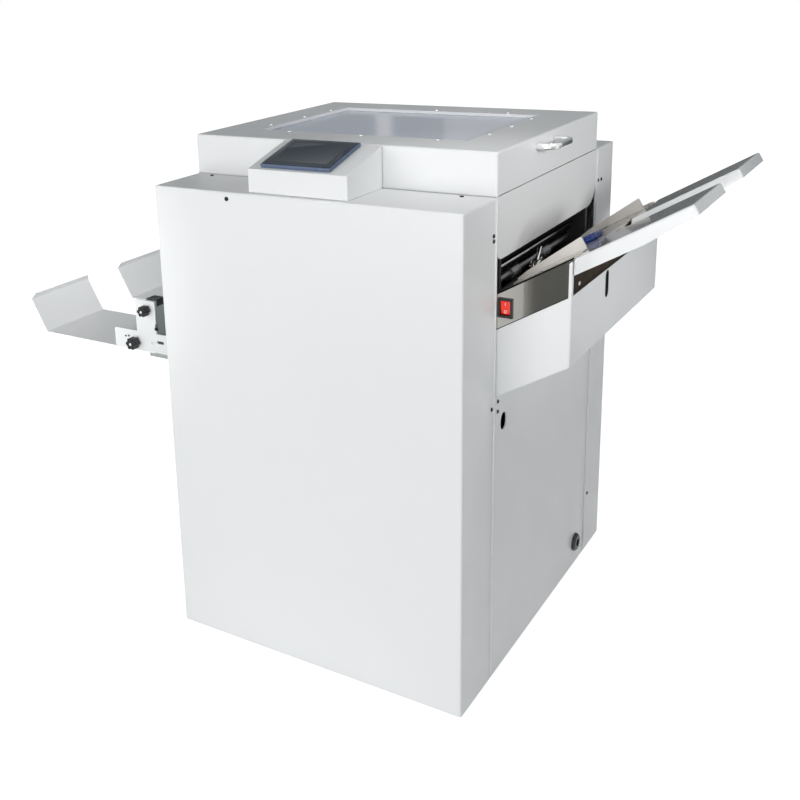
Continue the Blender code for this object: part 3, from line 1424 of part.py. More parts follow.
def lid_handle():
    """Bright bent-rod pull: a curve with a round section, its feet on the lid's right wall."""
    curve = bpy.data.curves.new("lid_handle", "CURVE")
    curve.dimensions = "3D"
    curve.bevel_depth = HANDLE_ROD
    curve.bevel_resolution = 3
    curve.use_fill_caps = True
    reach = HANDLE_PROUD - HANDLE_ROD
    x_foot = SIDE + TOUCH
    x_bar = SIDE + reach
    near = HANDLE_START + HANDLE_ROD
    far = HANDLE_START + HANDLE_LENGTH - HANDLE_ROD
    corners = [(x_foot, near), (x_bar, near), (x_bar, far), (x_foot, far)]
    outline = rounded(corners, [0, HANDLE_BEND, HANDLE_BEND, 0], 4)
    line = curve.splines.new("POLY")
    line.points.add(len(outline) - 1)
    for point, (x, y) in zip(line.points, outline):
        point.co = (x, y, Z_LEDGE + HANDLE_LIFT, 1)
    add("lid_handle", curve, CHROME)


def hinge_leaf(name, z_low, z_high, knuckles, bore, look):
    """Leaf on the left faces with its own knuckles on the shared axis."""
    axis_x = -SIDE - TOUCH - HINGE_KNUCKLE
    axis_z = Z_LEDGE + SEAM / 2
    right = -SIDE - TOUCH
    half = HINGE_LENGTH / 2
    made = block(name, (right - HINGE_LEAF, -half, z_low), (right, half, z_high), look)
    pitch = HINGE_LENGTH / HINGE_KNUCKLES
    for index in knuckles:
        near = -half + index * pitch + TOUCH
        far = near + pitch - 2 * TOUCH
        low = (right - HINGE_LEAF, near, min(z_low, axis_z))
        high = (right, far, max(z_high, axis_z))
        barrel = [
            (0, far - near),
            (HINGE_KNUCKLE, far - near),
            (HINGE_KNUCKLE, 0),
            (0, 0),
        ]
        place = (axis_x, near, axis_z)
        join(made, block(f"{name}_tab_{index}", low, high, None))
        join(made, turned(f"{name}_knuckle_{index}", barrel, None, place, ALONG_Y, steps=SMALL_STEPS))
    if bore:
        hole = [(0, half + OVERCUT), (bore, half + OVERCUT), (bore, -half - OVERCUT), (0, -half - OVERCUT)]
        cutter = turned(name + "_bore", hole, None, (axis_x, 0, axis_z), ALONG_Y, steps=SMALL_STEPS)
        cut(made, cutter)
    return made


def lid_hinge():
    """Long hinge on the left: one leaf and the pin on the cabinet, the other leaf on the lid."""
    axis_x = -SIDE - TOUCH - HINGE_KNUCKLE
    axis_z = Z_LEDGE + SEAM / 2
    clear = HINGE_KNUCKLE + TOUCH
    fixed = range(0, HINGE_KNUCKLES, 2)
    moving = range(1, HINGE_KNUCKLES, 2)
    made = hinge_leaf("hinge_base_leaf", axis_z - HINGE_LEAF_HEIGHT, axis_z - clear, fixed, 0, STEEL)
    half = HINGE_LENGTH / 2 - TOUCH
    pin = [(0, half), (HINGE_PIN, half), (HINGE_PIN, -half), (0, -half)]
    join(made, turned("hinge_pin", pin, None, (axis_x, 0, axis_z), ALONG_Y, steps=SMALL_STEPS))
    bore = HINGE_PIN + TOUCH
    hinge_leaf("hinge_lid_leaf", axis_z + clear, axis_z + HINGE_LEAF_HEIGHT, moving, bore, STEEL)


def console():
    """Wedge-shaped console on the front cover's ledge and the touch panel on its slope."""
    rear = Y_FRONT_SEAM - SEAM
    front = rear - CONSOLE_DEPTH
    low = Z_LEDGE + TOUCH
    outline = [
        (front, low),
        (rear, low),
        (rear, low + CONSOLE_REAR),
        (front, low + CONSOLE_FRONT),
    ]
    middle = CONSOLE_LEFT + CONSOLE_WIDTH / 2
    made = plate("console_housing", outline, [], CONSOLE_WIDTH, "x", middle, PAINT)
    round_edges(made, INNER_BEND)
    inner = [
        (front + SHEET, low - OVERCUT),
        (rear - SHEET, low - OVERCUT),
        (rear - SHEET, low + CONSOLE_REAR - 2 * SHEET),
        (front + SHEET, low + CONSOLE_FRONT - 2 * SHEET),
    ]
    width = CONSOLE_WIDTH - 2 * SHEET
    cut(made, plate("console_hollow", inner, [], width, "x", middle, None))
    slope = atan2(CONSOLE_REAR - CONSOLE_FRONT, CONSOLE_DEPTH)
    length = hypot(CONSOLE_REAR - CONSOLE_FRONT, CONSOLE_DEPTH)
    centre = (middle + PANEL_SHIFT, (front + rear) / 2, low + (CONSOLE_FRONT + CONSOLE_REAR) / 2)
    half_depth = min(PANEL_DEPTH, length) / 2
    low = (-PANEL_WIDTH / 2, -half_depth, TOUCH)
    high = (PANEL_WIDTH / 2, half_depth, TOUCH + PANEL_PROUD)
    panel = block("touch_panel", low, high, SCREEN_PLASTIC, place=centre, turn=(slope, 0, 0))
    round_edges(panel, INNER_BEND)
    low = (PANEL_RIM - PANEL_WIDTH / 2, PANEL_BAND - half_depth, TOUCH + PANEL_PROUD - PANEL_RECESS)
    high = (PANEL_WIDTH / 2 - PANEL_RIM, half_depth - PANEL_BAND, TOUCH + PANEL_PROUD + OVERCUT)
    cut(panel, block("screen_recess", low, high, None, place=centre, turn=(slope, 0, 0)))


def control_box():
    """Electrical box on the rear frame, open towards the frame plate that closes it."""
    left = BOX_SHIFT - BOX_WIDTH / 2
    low = (left, FRAME_OUTER + TOUCH, FLOOR_GAP + BOX_LIFT)
    high = (left + BOX_WIDTH, FRAME_OUTER + TOUCH + BOX_DEPTH, FLOOR_GAP + BOX_LIFT + BOX_HEIGHT)
    folded_box("control_box", low, high, [(0, -1, 0)], BOX_SHEET, BOX_SHEET + INNER_BEND, GREY_PAINT)


def build():
    base_pan()
    feet()
    frames()
    covers()
    side_panels()
    power_inlet()
    infeed_cover()
    infeed_housing()
    infeed_fascia()
    switch()
    feed_table()
    extension_arms()
    for name, side in (("front_side_guide", -1), ("rear_side_guide", 1)):
        side_guide(name, side)
    feed_rollers()
    fold_rollers()
    drive_motor()
    fold_knife()
    stitching()
    spools()
    stop_gate()
    delivery_chute()
    delivery_rollers()
    delivery()
    lid()
    lid_handle()
    lid_hinge()
    console()
    control_box()


build()
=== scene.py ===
"""Looks of the floor-standing booklet maker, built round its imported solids. Metres, +Z up."""

from math import atan2, cos, pi, radians, sin

import bmesh
import bpy
from mathutils import Matrix, Vector


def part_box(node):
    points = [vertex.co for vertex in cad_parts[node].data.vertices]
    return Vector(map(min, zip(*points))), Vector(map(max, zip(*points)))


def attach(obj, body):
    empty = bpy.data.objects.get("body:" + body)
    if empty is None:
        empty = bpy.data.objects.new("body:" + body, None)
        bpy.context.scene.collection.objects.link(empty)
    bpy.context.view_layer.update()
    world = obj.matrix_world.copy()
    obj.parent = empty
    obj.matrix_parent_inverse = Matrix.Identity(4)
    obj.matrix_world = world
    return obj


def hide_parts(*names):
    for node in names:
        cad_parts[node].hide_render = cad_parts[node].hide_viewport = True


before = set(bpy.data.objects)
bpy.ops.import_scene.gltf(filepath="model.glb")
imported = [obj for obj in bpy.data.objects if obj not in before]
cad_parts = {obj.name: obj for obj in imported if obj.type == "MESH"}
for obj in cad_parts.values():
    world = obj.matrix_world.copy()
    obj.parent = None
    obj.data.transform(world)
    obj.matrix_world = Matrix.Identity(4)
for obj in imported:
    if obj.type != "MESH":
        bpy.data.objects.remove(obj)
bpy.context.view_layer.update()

# Cabinet sizes that the small pieces are placed from. SIDE is half the cabinet's width, and
# FLOOR_GAP the height of the covers' lower edge.
SIDE = 0.2775
FLOOR_GAP = 0.012
COVER_TOP = 0.832
COVER_HEIGHT = COVER_TOP - FLOOR_GAP
LID_TOP = 0.900
MIDDLE_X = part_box("right_panel")[1].x - SIDE
RIGHT_FACE = MIDDLE_X + SIDE
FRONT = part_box("front_cover")[0].y
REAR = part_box("rear_cover")[1].y
FRONT_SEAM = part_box("lid")[0].y
REAR_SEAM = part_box("lid")[1].y
MOUTH_Z = 0.6815
INCLINE = radians(30.5)
TABLE_RISE = sin(INCLINE) / cos(INCLINE)
TABLE_END = 0.117 / cos(INCLINE)
MM = 0.001


def place(x, y, z):
    """The part's point for x from the cabinet's middle, y, and z above the covers' lower edge."""
    return Vector((x + MIDDLE_X, y, z + FLOOR_GAP))


def on_path(along, across, up):
    """The part's point along, across and above the sloping table, from the right face."""
    x = RIGHT_FACE + along * cos(INCLINE) - up * sin(INCLINE)
    return Vector((x, across, MOUTH_Z + along * sin(INCLINE) + up * cos(INCLINE)))


# Camera. Turns are in degrees: to the left, below the horizon and about the view.
CAMERA_PLACE = (0.88509, -1.69986, 1.15589)
CAMERA_LEFT, CAMERA_DOWN, CAMERA_ROLL = 33.645, 15.580, -2.287
CAMERA_LENS, CAMERA_FILM = 48.785, 36
CAMERA_SHIFT = (0.14, -0.16)
FAR_CLIP = 60


def set_camera():
    """Camera that was fitted to the cabinet's corners."""
    bpy.ops.object.camera_add(location=place(*CAMERA_PLACE))
    camera = bpy.context.object
    camera.name = "camera"
    turn = Matrix.Rotation(radians(CAMERA_LEFT), 4, "Z")
    tilt = Matrix.Rotation(radians(90 - CAMERA_DOWN), 4, "X")
    roll = Matrix.Rotation(radians(CAMERA_ROLL), 4, "Z")
    camera.rotation_euler = (turn @ tilt @ roll).to_euler()
    camera.data.lens = CAMERA_LENS
    camera.data.sensor_width = CAMERA_FILM
    camera.data.shift_x, camera.data.shift_y = CAMERA_SHIFT
    camera.data.clip_end = FAR_CLIP
    bpy.context.scene.camera = camera


# Materials. Sockets of the Mix node that have the same names for numbers and colours go by place.
MIX_FIRST, MIX_SECOND, MIX_COLOUR = 6, 7, 2
# Part of the noise's range that the patches of roughness spread over
NOISE_LOW, NOISE_HIGH = 0.3, 0.7


def linear(code):
    """Linear colour of an sRGB hex value."""
    shares = [int(code[first:first + 2], 16) / 255 for first in (1, 3, 5)]
    return (*[s / 12.92 if s <= 0.04045 else ((s + 0.055) / 1.055) ** 2.4 for s in shares], 1)


def add_node(tree, kind, settings=None, inputs=None):
    """Adds a node with its settings, and links or sets its inputs."""
    made = tree.nodes.new("ShaderNode" + kind)
    for name, value in (settings or {}).items():
        setattr(made, name, value)
    for name, value in (inputs or {}).items():
        if isinstance(value, bpy.types.NodeSocket):
            tree.links.new(value, made.inputs[name])
        else:
            made.inputs[name].default_value = value
    return made


def finish(name, code, metal=0.0, rough=(0.4, 0.5), patch=60, grain=2.4, depth=0.012,
           stretch=(1, 1, 1), tone=0.04, fixed=None):
    """A surface: patches of roughness and tone, and a grain in relief.

    Patch, grain and depth are in millimetres. Fixed holds other inputs of the Principled BSDF.
    """
    made = bpy.data.materials.new(name)
    made.use_nodes = True
    tree = made.node_tree
    shader = tree.nodes["Principled BSDF"]
    shader.inputs["Metallic"].default_value = metal
    for socket, value in (fixed or {}).items():
        shader.inputs[socket].default_value = value
    spot = add_node(tree, "TexCoord").outputs["Object"]
    run = add_node(tree, "Mapping", inputs={"Vector": spot, "Scale": stretch}).outputs["Vector"]
    coarse = {"Vector": run, "Scale": 1 / (patch * MM), "Detail": 3.0}
    patches = add_node(tree, "TexNoise", inputs=coarse).outputs["Fac"]
    fine = {"Vector": run, "Scale": 1 / (grain * MM), "Detail": 2.0}
    grains = add_node(tree, "TexNoise", inputs=fine).outputs["Fac"]
    spread = {"Value": patches, "From Min": NOISE_LOW, "From Max": NOISE_HIGH,
              "To Min": rough[0], "To Max": rough[1]}
    level = add_node(tree, "MapRange", inputs=spread)
    tree.links.new(level.outputs["Result"], shader.inputs["Roughness"])
    base = linear(code)
    dim = tuple(share * (1 - tone) for share in base[:3]) + (1,)
    tones = {"Factor": patches, MIX_FIRST: base, MIX_SECOND: dim}
    mixed = add_node(tree, "Mix", {"data_type": "RGBA"}, tones)
    tree.links.new(mixed.outputs[MIX_COLOUR], shader.inputs["Base Color"])
    relief = {"Height": grains, "Strength": 1.0, "Distance": depth * MM}
    bump = add_node(tree, "Bump", inputs=relief)
    tree.links.new(bump.outputs["Normal"], shader.inputs["Normal"])
    return made


# Powder-coated sheet steel, sprayed and baked: a satin off-white with a fine orange peel that
# breaks up its reflections. Real peel is about 1.2 mm across, drawn at 2.4 mm so that it shows.
POWDER_WHITE = finish("powder_coated_steel_white", "#E9EAEA", rough=(0.34, 0.44), tone=0.015)
# The same coat in grey on the chassis, a little rougher from handling.
POWDER_GREY = finish("powder_coated_steel_grey", "#A9ABAB", rough=(0.42, 0.55), tone=0.05)
# Stainless sheet, brushed along the feed direction: long fine lines that smear every reflection.
BRUSHED = finish("brushed_stainless_steel", "#CBC6BE", metal=1.0, rough=(0.16, 0.30), patch=40,
                 grain=0.9, depth=0.004, stretch=(0.03, 1, 1), tone=0.10)
# Polished stainless of the fascia: a mirror with faint vertical polishing lines.
POLISHED = finish("polished_stainless_steel", "#D2CFC8", metal=1.0, rough=(0.05, 0.11), patch=50,
                  grain=0.8, depth=0.0015, stretch=(1, 1, 0.04), tone=0.05)
# Stainless side guides, tumbled after bending: pale and dull.
SATIN = finish("tumbled_stainless_steel", "#DEDAD5", metal=0.15, rough=(0.42, 0.55), patch=25,
               grain=0.7, depth=0.006, tone=0.06)
# Gloss enamel of the extension arms: white under a hard clear coat, which mirrors at low angles.
GLOSS_WHITE = finish("gloss_enamel_white", "#E6E7E7", rough=(0.16, 0.24), patch=70, grain=3.0,
                     depth=0.002, tone=0.02, fixed={"Coat Weight": 1.0, "Coat Roughness": 0.07})
# Brown sheet behind the table's flange, its dark brown a painted reflection: matt, with a
# paper-like grain.
DARK_REFLECTION_SHEET = finish("brown_sheet_painted_reflection", "#30251A", rough=(0.70, 0.85), patch=14, grain=0.9,
                  depth=0.010, tone=0.25, fixed={"Specular IOR Level": 0.12})
# Black powder coat of the two inner frames, which the mouth looks onto: painted shade of the
# machine's dark inside.
POWDER_BLACK_PAINTED_SHADE = finish("powder_coated_steel_black_painted_shade", "#1A1B1D", rough=(0.50, 0.62), tone=0.15)
# Black flock of the mouth's curtain and seal, the table's edge strip and the slot's plug: dark
# pieces put where there is only shade, as painted shade.
FLOCK_PAINTED_SHADE = finish("black_flock_painted_shade", "#0C0C0D", rough=(0.85, 0.98), patch=9, grain=0.5,
               depth=0.05, tone=0.3, fixed={"Specular IOR Level": 0.1})
# Ground bar steel of the rails, heads and shafts: fine cross lines and a dull sheen.
GROUND = finish("ground_steel", "#A8A9AA", metal=1.0, rough=(0.28, 0.42), patch=30,
                grain=1.2, depth=0.006, stretch=(1, 0.15, 1), tone=0.12)
# Blackened steel of the motor, drivers and small screws: dark, with a faint oily sheen.
BLACKENED = finish("blackened_steel", "#2B2C2E", metal=0.9, rough=(0.35, 0.55), patch=18,
                   grain=1.0, depth=0.01, tone=0.3)
# Bright chrome plate on the lever, rod and bolts: a mirror with slight ripples in the plating.
CHROME = finish("chrome_plated_steel", "#E2E2E2", metal=1.0, rough=(0.08, 0.14), patch=25,
                grain=6.0, depth=0.0012, tone=0.03)
# Satin chrome of the pull, bead blasted under its plating: bright and soft, nowhere sharp.
SATIN_CHROME = finish("satin_chrome_steel", "#E8E8E8", metal=1.0, rough=(0.17, 0.25), patch=20,
                      grain=4.0, depth=0.001, tone=0.03)
# Powder coat of the delivery arms: the covers' white drawn slightly greyer, as painted shade.
POWDER_ARM_PAINTED_SHADE = finish("powder_coated_steel_white_painted_shade", "#D9DBDB", rough=(0.38, 0.48), tone=0.03)
# Powder coat of the delivery posts, drawn grey-green as painted shade of their shaded faces.
POWDER_POST_PAINTED_SHADE = finish("powder_coated_steel_painted_shade_green", "#98A19C", rough=(0.38, 0.50), tone=0.06)
# Moulded nitrile rubber on rollers and feet: matt black with a ground tread.
RUBBER = finish("moulded_rubber", "#1B1B1C", rough=(0.72, 0.88), patch=12, grain=0.8,
                depth=0.04, tone=0.3)
# Moulded ABS with a spark-eroded texture on knobs, caps, bezel and inlet.
ABS_BLACK = finish("moulded_abs_black", "#17181A", rough=(0.36, 0.48), patch=15, grain=0.7,
                   depth=0.015, tone=0.25)
# Polished translucent polycarbonate of the rocker: saturated red with a wet shine, and a faint glow
# that is painted light.
PC_RED_PAINTED_GLOW = finish("moulded_polycarbonate_red_painted_glow", "#F2301C", rough=(0.14, 0.22), patch=6, grain=3.0,
                depth=0.004, tone=0.12,
                fixed={"Coat Weight": 0.4, "Coat Roughness": 0.08,
                       "Emission Color": linear("#FF2A14"), "Emission Strength": 0.25})
# Painted ABS of the touch panel's frame: dark slate blue, semi-gloss.
PANEL_BLUE = finish("painted_abs_slate", "#53637F", rough=(0.26, 0.34), patch=35, grain=1.2,
                    depth=0.002, tone=0.04)
# Pale closed-cell foam of the lid's seal: matt, with fine cells.
FOAM = finish("closed_cell_foam", "#DCDCDC", rough=(0.8, 0.95), patch=10, grain=0.6,
              depth=0.03, tone=0.06)
# Copper-coated stitching wire, wound in close turns: a warm, ribbed shine.
WIRE = finish("copper_coated_wire", "#B9805A", metal=1.0, rough=(0.25, 0.40), patch=20,
              grain=0.9, depth=0.08, stretch=(0.1, 1, 1), tone=0.25)
# Cast acrylic sheet whose pale bluish base colour is a painted reflection of the surroundings, with
# a cool haze.
ACRYLIC_PAINTED_REFLECTION = finish("cast_acrylic_painted_reflection", "#E6EDFF", rough=(0.10, 0.18), patch=110, grain=30.0,
                 depth=0.012, tone=0.13, fixed={"Transmission Weight": 0.10, "IOR": 1.49})
# Float glass over the switched-off display: near black, mirror smooth.
GLASS_DARK = finish("display_glass", "#1A2A38", rough=(0.05, 0.09), patch=30, grain=20.0,
                    depth=0.002, tone=0.15, fixed={"Specular IOR Level": 0.3})
# Glossy blue moulded nylon of the guide's clamp.
NYLON_BLUE = finish("moulded_nylon_blue", "#1D3F97", rough=(0.22, 0.34), patch=10, grain=1.2,
                    depth=0.01, tone=0.2)
# Zinc-plated screw heads: pale grey with a slight rainbow dullness.
ZINC = finish("zinc_plated_steel", "#C9CBCC", metal=1.0, rough=(0.25, 0.38), patch=8,
              grain=0.6, depth=0.006, tone=0.12)
# White print on the rocker, slightly raised.
MARK_WHITE = finish("printed_white", "#F4F1EA", rough=(0.4, 0.5), patch=5, grain=0.5,
                    depth=0.004, tone=0.05)

# Solids whose finish isn't that of their material slot
NODE_LOOKS = {
    "infeed_fascia": POLISHED,
    # Black frames: painted shade inside the mouth.
    "front_frame": POWDER_BLACK_PAINTED_SHADE,
    "rear_frame": POWDER_BLACK_PAINTED_SHADE,
    "front_side_guide": SATIN,
    "rear_side_guide": SATIN,
    "front_extension_arm": GLOSS_WHITE,
    "rear_extension_arm": GLOSS_WHITE,
    # The arms' greyer white is painted shade.
    "front_delivery_arm": POWDER_ARM_PAINTED_SHADE,
    "rear_delivery_arm": POWDER_ARM_PAINTED_SHADE,
    # The posts' grey-green is painted shade.
    "front_delivery_post": POWDER_POST_PAINTED_SHADE,
    "rear_delivery_post": POWDER_POST_PAINTED_SHADE,
}
SLOT_LOOKS = {
    "white_paint": POWDER_WHITE,
    "grey_paint": POWDER_GREY,
    "stainless": BRUSHED,
    "steel": GROUND,
    "dark_steel": BLACKENED,
    "chrome": CHROME,
    "rubber": RUBBER,
    "black_plastic": ABS_BLACK,
    "red_plastic": PC_RED_PAINTED_GLOW,
    "screen_plastic": PANEL_BLUE,
    # The window's pale bluish colour is a painted reflection.
    "clear_plastic": ACRYLIC_PAINTED_REFLECTION,
    "wire": WIRE,
}


def dress_solids():
    """Gives every solid of the frame the finish of its material slot, or its own."""
    for label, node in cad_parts.items():
        for holder in node.material_slots:
            holder.link = "OBJECT"
            name = holder.material.name if holder.material else node.data.materials[0].name
            holder.material = NODE_LOOKS.get(label, SLOT_LOOKS[name.split(".")[0]])


# Modelling helpers
ALONG_X = (0, pi / 2, 0)
ALONG_Y = (pi / 2, 0, 0)
UP, DOWN = Vector((0, 0, 1)), Vector((0, 0, -1))
TO_RIGHT, TO_REAR, TO_FRONT = Vector((1, 0, 0)), Vector((0, 1, 0)), Vector((0, -1, 0))
# Least share of a face's normal along a direction that it looks in
FACING = 0.9
SMOOTH_ANGLE = 35
WELD = 0.00001


def start():
    """Back to object mode, with nothing selected."""
    if bpy.context.mode != "OBJECT":
        bpy.ops.object.mode_set(mode="OBJECT")
    bpy.ops.object.select_all(action="DESELECT")


def hold(made):
    """Selects one piece and makes it the active one."""
    start()
    bpy.context.view_layer.objects.active = made
    made.select_set(True)


def fresh(name, scale=(1, 1, 1)):
    """Names the primitive that was just added, and applies its scale and place."""
    made = bpy.context.object
    made.name = name
    made.scale = scale
    bpy.ops.object.transform_apply(location=True, rotation=True, scale=True)
    return made


def box(name, low, high):
    """A cube at its size and place, ready to be shaped."""
    start()
    low, high = Vector(low), Vector(high)
    bpy.ops.mesh.primitive_cube_add(size=1, location=(low + high) / 2)
    return fresh(name, high - low)


def drum(name, middle, radius, length, turn=(0, 0, 0), sides=32):
    """A cylinder along its own Z, ready to be shaped."""
    start()
    bpy.ops.mesh.primitive_cylinder_add(vertices=sides, radius=radius, depth=length,
                                        location=middle, rotation=turn)
    return fresh(name)


def edit(made, kind="FACE"):
    """Edit mode on a piece, with nothing selected."""
    bpy.context.view_layer.objects.active = made
    made.select_set(True)
    bpy.ops.object.mode_set(mode="EDIT")
    bpy.ops.mesh.select_mode(type=kind)
    bpy.ops.mesh.select_all(action="DESELECT")


def pick(made, kind, test):
    """Selects, in edit mode, the faces (FACE), edges (EDGE) or points (VERT) that pass the test."""
    bpy.ops.mesh.select_mode(type=kind)
    bpy.ops.mesh.select_all(action="DESELECT")
    form = bmesh.from_edit_mesh(made.data)
    form.normal_update()
    for part in {"FACE": form.faces, "EDGE": form.edges, "VERT": form.verts}[kind]:
        if test(part):
            part.select_set(True)
    bmesh.update_edit_mesh(made.data)


def pick_side(made, way):
    """Selects, in edit mode, the faces that look in a direction."""
    pick(made, "FACE", lambda face: face.normal.dot(way) > FACING)


def pick_points(made, test):
    """Selects, in edit mode, the points whose place passes the test."""
    pick(made, "VERT", lambda point: test(point.co))


def push(*move):
    """Extrudes what is selected in edit mode by x, y and z."""
    bpy.ops.mesh.extrude_region_move(TRANSFORM_OT_translate={"value": move})


def cut_across(spot, way):
    """Cuts the mesh in edit mode along a plane, and keeps both sides."""
    bpy.ops.mesh.select_all(action="SELECT")
    bpy.ops.mesh.bisect(plane_co=spot, plane_no=way)


def close_ends(made):
    """Fills the two open ends of a swept tube and welds its rings."""
    pick(made, "EDGE", lambda edge: len(edge.link_faces) == 1)
    bpy.ops.mesh.edge_face_add()
    bpy.ops.mesh.select_all(action="SELECT")
    bpy.ops.mesh.remove_doubles(threshold=WELD)
    bpy.ops.mesh.normals_make_consistent(inside=False)
    start()


def step_face(made, way, rim, rise):
    """Leaves a rim round the faces that look in a direction, and lifts what is inside it."""
    edit(made)
    pick_side(made, way)
    bpy.ops.mesh.inset(thickness=rim, depth=0)
    push(*(way * rise))
    start()


def panel_face(made, way, *steps):
    """Insets the faces that look in a direction, once for each step of rim and depth."""
    edit(made)
    pick_side(made, way)
    for rim, depth in steps:
        bpy.ops.mesh.inset(thickness=rim, depth=depth)
    start()


def soften(made, width, steps=2):
    """Rounds a piece's sharp edges."""
    hold(made)
    step = made.modifiers.new("soft edges", "BEVEL")
    step.width = width
    step.segments = steps
    step.limit_method = "ANGLE"
    step.angle_limit = radians(SMOOTH_ANGLE)
    bpy.ops.object.modifier_apply(modifier=step.name)
    return made


def carve(made, cutter):
    """Cuts a piece with another, which is used up."""
    hold(made)
    step = made.modifiers.new("carve", "BOOLEAN")
    step.operation = "DIFFERENCE"
    step.solver = "EXACT"
    step.object = cutter
    bpy.ops.object.modifier_apply(modifier=step.name)
    drop(cutter)
    return made


def drop(*pieces):
    """Deletes pieces that were only patterns or cutters."""
    for piece in pieces:
        bpy.data.objects.remove(piece)


def twin(made, move, turn):
    """A copy with its own mesh, turned about the origin and then moved."""
    copy = made.copy()
    copy.data = made.data.copy()
    bpy.context.scene.collection.objects.link(copy)
    copy.data.transform(turn)
    copy.data.transform(Matrix.Translation(Vector(move)))
    return copy


def merge(name, parts):
    """Joins parts into one piece of that name."""
    start()
    for part in parts:
        part.select_set(True)
    bpy.context.view_layer.objects.active = parts[0]
    bpy.ops.object.join()
    parts[0].name = name
    return parts[0]


def lay_on_table(made, along, up):
    """Turns a piece that was made level about the origin onto the sloping table."""
    made.data.transform(Matrix.Rotation(-INCLINE, 4, "Y"))
    made.data.transform(Matrix.Translation(on_path(along, 0, up)))


def settle(made, look, body, replaces=()):
    """Finishes a piece: smooth shading by angle, its material, and the body that it rides on."""
    hold(made)
    bpy.ops.object.shade_smooth_by_angle(angle=radians(SMOOTH_ANGLE))
    made.data.materials.clear()
    made.data.materials.append(look)
    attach(made, body)
    if replaces:
        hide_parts(*replaces)
    return made


# Turns from facing up to facing each way
FACE_TURNS = {
    "up": Matrix.Identity(4),
    "right": Matrix.Rotation(pi / 2, 4, "Y"),
    "left": Matrix.Rotation(-pi / 2, 4, "Y"),
    "front": Matrix.Rotation(pi / 2, 4, "X"),
    "rear": Matrix.Rotation(-pi / 2, 4, "X"),
}

# Screw heads: radius and height
PAN_HEAD, SMALL_HEAD = (0.0042, 0.0018), (0.0032, 0.0014)
SKIN_HEAD, PLATE_HEAD = (0.0034, 0.0016), (0.0030, 0.0013)
SET_HEAD, PALE_HEAD = (0.0020, 0.0009), (0.0030, 0.0008)
KNOB_HEAD = (0.0030, 0.0012)
# Their rounding and their recess's floor and top, in heights, and the cross's arms, in radii
HEAD_ROUND, RECESS_FLOOR, RECESS_TOP = 0.45, 0.45, 1.3
CROSS_REACH, CROSS_WIDTH = 0.62, 0.26
# Screws round the window: x and y on the lid
WINDOW_SCREWS = (
    [(-0.210, y) for y in (0.024, 0.120, -0.090)] + [(0.200, y) for y in (0.117, 0.024, -0.068)]
    + [(x, -0.146) for x in (-0.134, 0.006, 0.145)] + [(x, 0.176) for x in (-0.011, 0.132)])
# Screws of the right and left faces: y and height. On the ledge: x and y. At the rear: x and
# height. Heights start at the covers' lower edge.
RIGHT_SCREWS = [(-0.234, 0.7640), (-0.234, 0.7560), (-0.234, 0.4875), (-0.209, 0.492),
                (-0.209, 0.475), (0.2625, 0.122), (0.274, 0.759), (0.256, 0.760)]
LEDGE_SCREWS = [(-0.238, -0.236), (0.227, -0.236)]
LEFT_SCREWS = [(y, z) for y in (-0.234, 0.256) for z in (0.122, 0.4875, 0.759)]
REAR_SCREWS = [(x, z) for x in (-0.25, 0.25) for z in (0.040, 0.410, 0.785)]


def screw_head(radius, height):
    """A pan head with a cross recess, standing on the origin and facing up."""
    head = drum("screw", (0, 0, height / 2), radius, height, sides=20)
    edit(head)
    pick_side(head, UP)
    bpy.ops.mesh.bevel(offset=height * HEAD_ROUND, segments=3, affect="EDGES")
    start()
    reach = radius * CROSS_REACH
    for across, along in ((1, CROSS_WIDTH), (CROSS_WIDTH, 1)):
        low = (-reach * across, -reach * along, height * RECESS_FLOOR)
        high = (reach * across, reach * along, height * RECESS_TOP)
        carve(head, box("recess", low, high))
    return head


def screws(name, kind, places, look, body):
    """Copies of one screw head at places of (point, way it faces), as one piece."""
    copies = [twin(kind, point, FACE_TURNS[way]) for point, way in places]
    return settle(merge(name, copies), look, body)


def fasteners():
    """Screws that hold the window, the covers, the infeed cover and the housing."""
    pan, small = screw_head(*PAN_HEAD), screw_head(*SMALL_HEAD)
    places = [(place(x, y, LID_TOP - FLOOR_GAP), "up") for x, y in WINDOW_SCREWS]
    screws("window_screws", pan, places, ZINC, "lid")
    places = [(place(SIDE, y, z), "right") for y, z in RIGHT_SCREWS]
    places += [(place(x, y, COVER_HEIGHT), "up") for x, y in LEDGE_SCREWS]
    places += [(place(-SIDE, y, z), "left") for y, z in LEFT_SCREWS]
    places += [(place(x, REAR, z), "rear") for x, z in REAR_SCREWS]
    screws("cover_screws", small, places, BLACKENED, "machine")
    drop(pan, small)


def keyhole():
    """Round blanking plug in the small hole at the upper left of the front cover."""
    x, z, proud = -0.130, 0.8086, 0.0004
    radius, length, rim, sink = 0.0036, 0.0016, 0.0011, 0.0008
    plug = drum("front_plug", place(x, FRONT - proud, z), radius, length, ALONG_Y, 24)
    step_face(plug, TO_FRONT, rim, -sink)
    soften(plug, width=0.0003)
    settle(plug, BLACKENED, "machine")


def console_screen():
    """Glass of the touch panel, lying over the panel's recess and most of its frame."""
    depth, front_tall, rear_tall = 0.109, 0.038, 0.067
    left_of_middle, rear_gap, seat = 0.009, 0.0016, 0.0003
    half_wide, half_deep, under, over = 0.0612, 0.0470, 0.0064, 0.0072
    frame_rim, groove, groove_depth = 0.0110, 0.0006, 0.0002
    middle = Vector((MIDDLE_X - left_of_middle, FRONT_SEAM - rear_gap - depth / 2,
                     COVER_TOP + seat + (front_tall + rear_tall) / 2))
    glass = box("touch_glass", (-half_wide, -half_deep, under), (half_wide, half_deep, over))
    panel_face(glass, UP, (frame_rim, 0), (groove, -groove_depth))
    soften(glass, width=0.0002)
    slope = Matrix.Rotation(atan2(rear_tall - front_tall, depth), 4, "X")
    glass.data.transform(Matrix.Translation(middle) @ slope)
    settle(glass, GLASS_DARK, "machine")


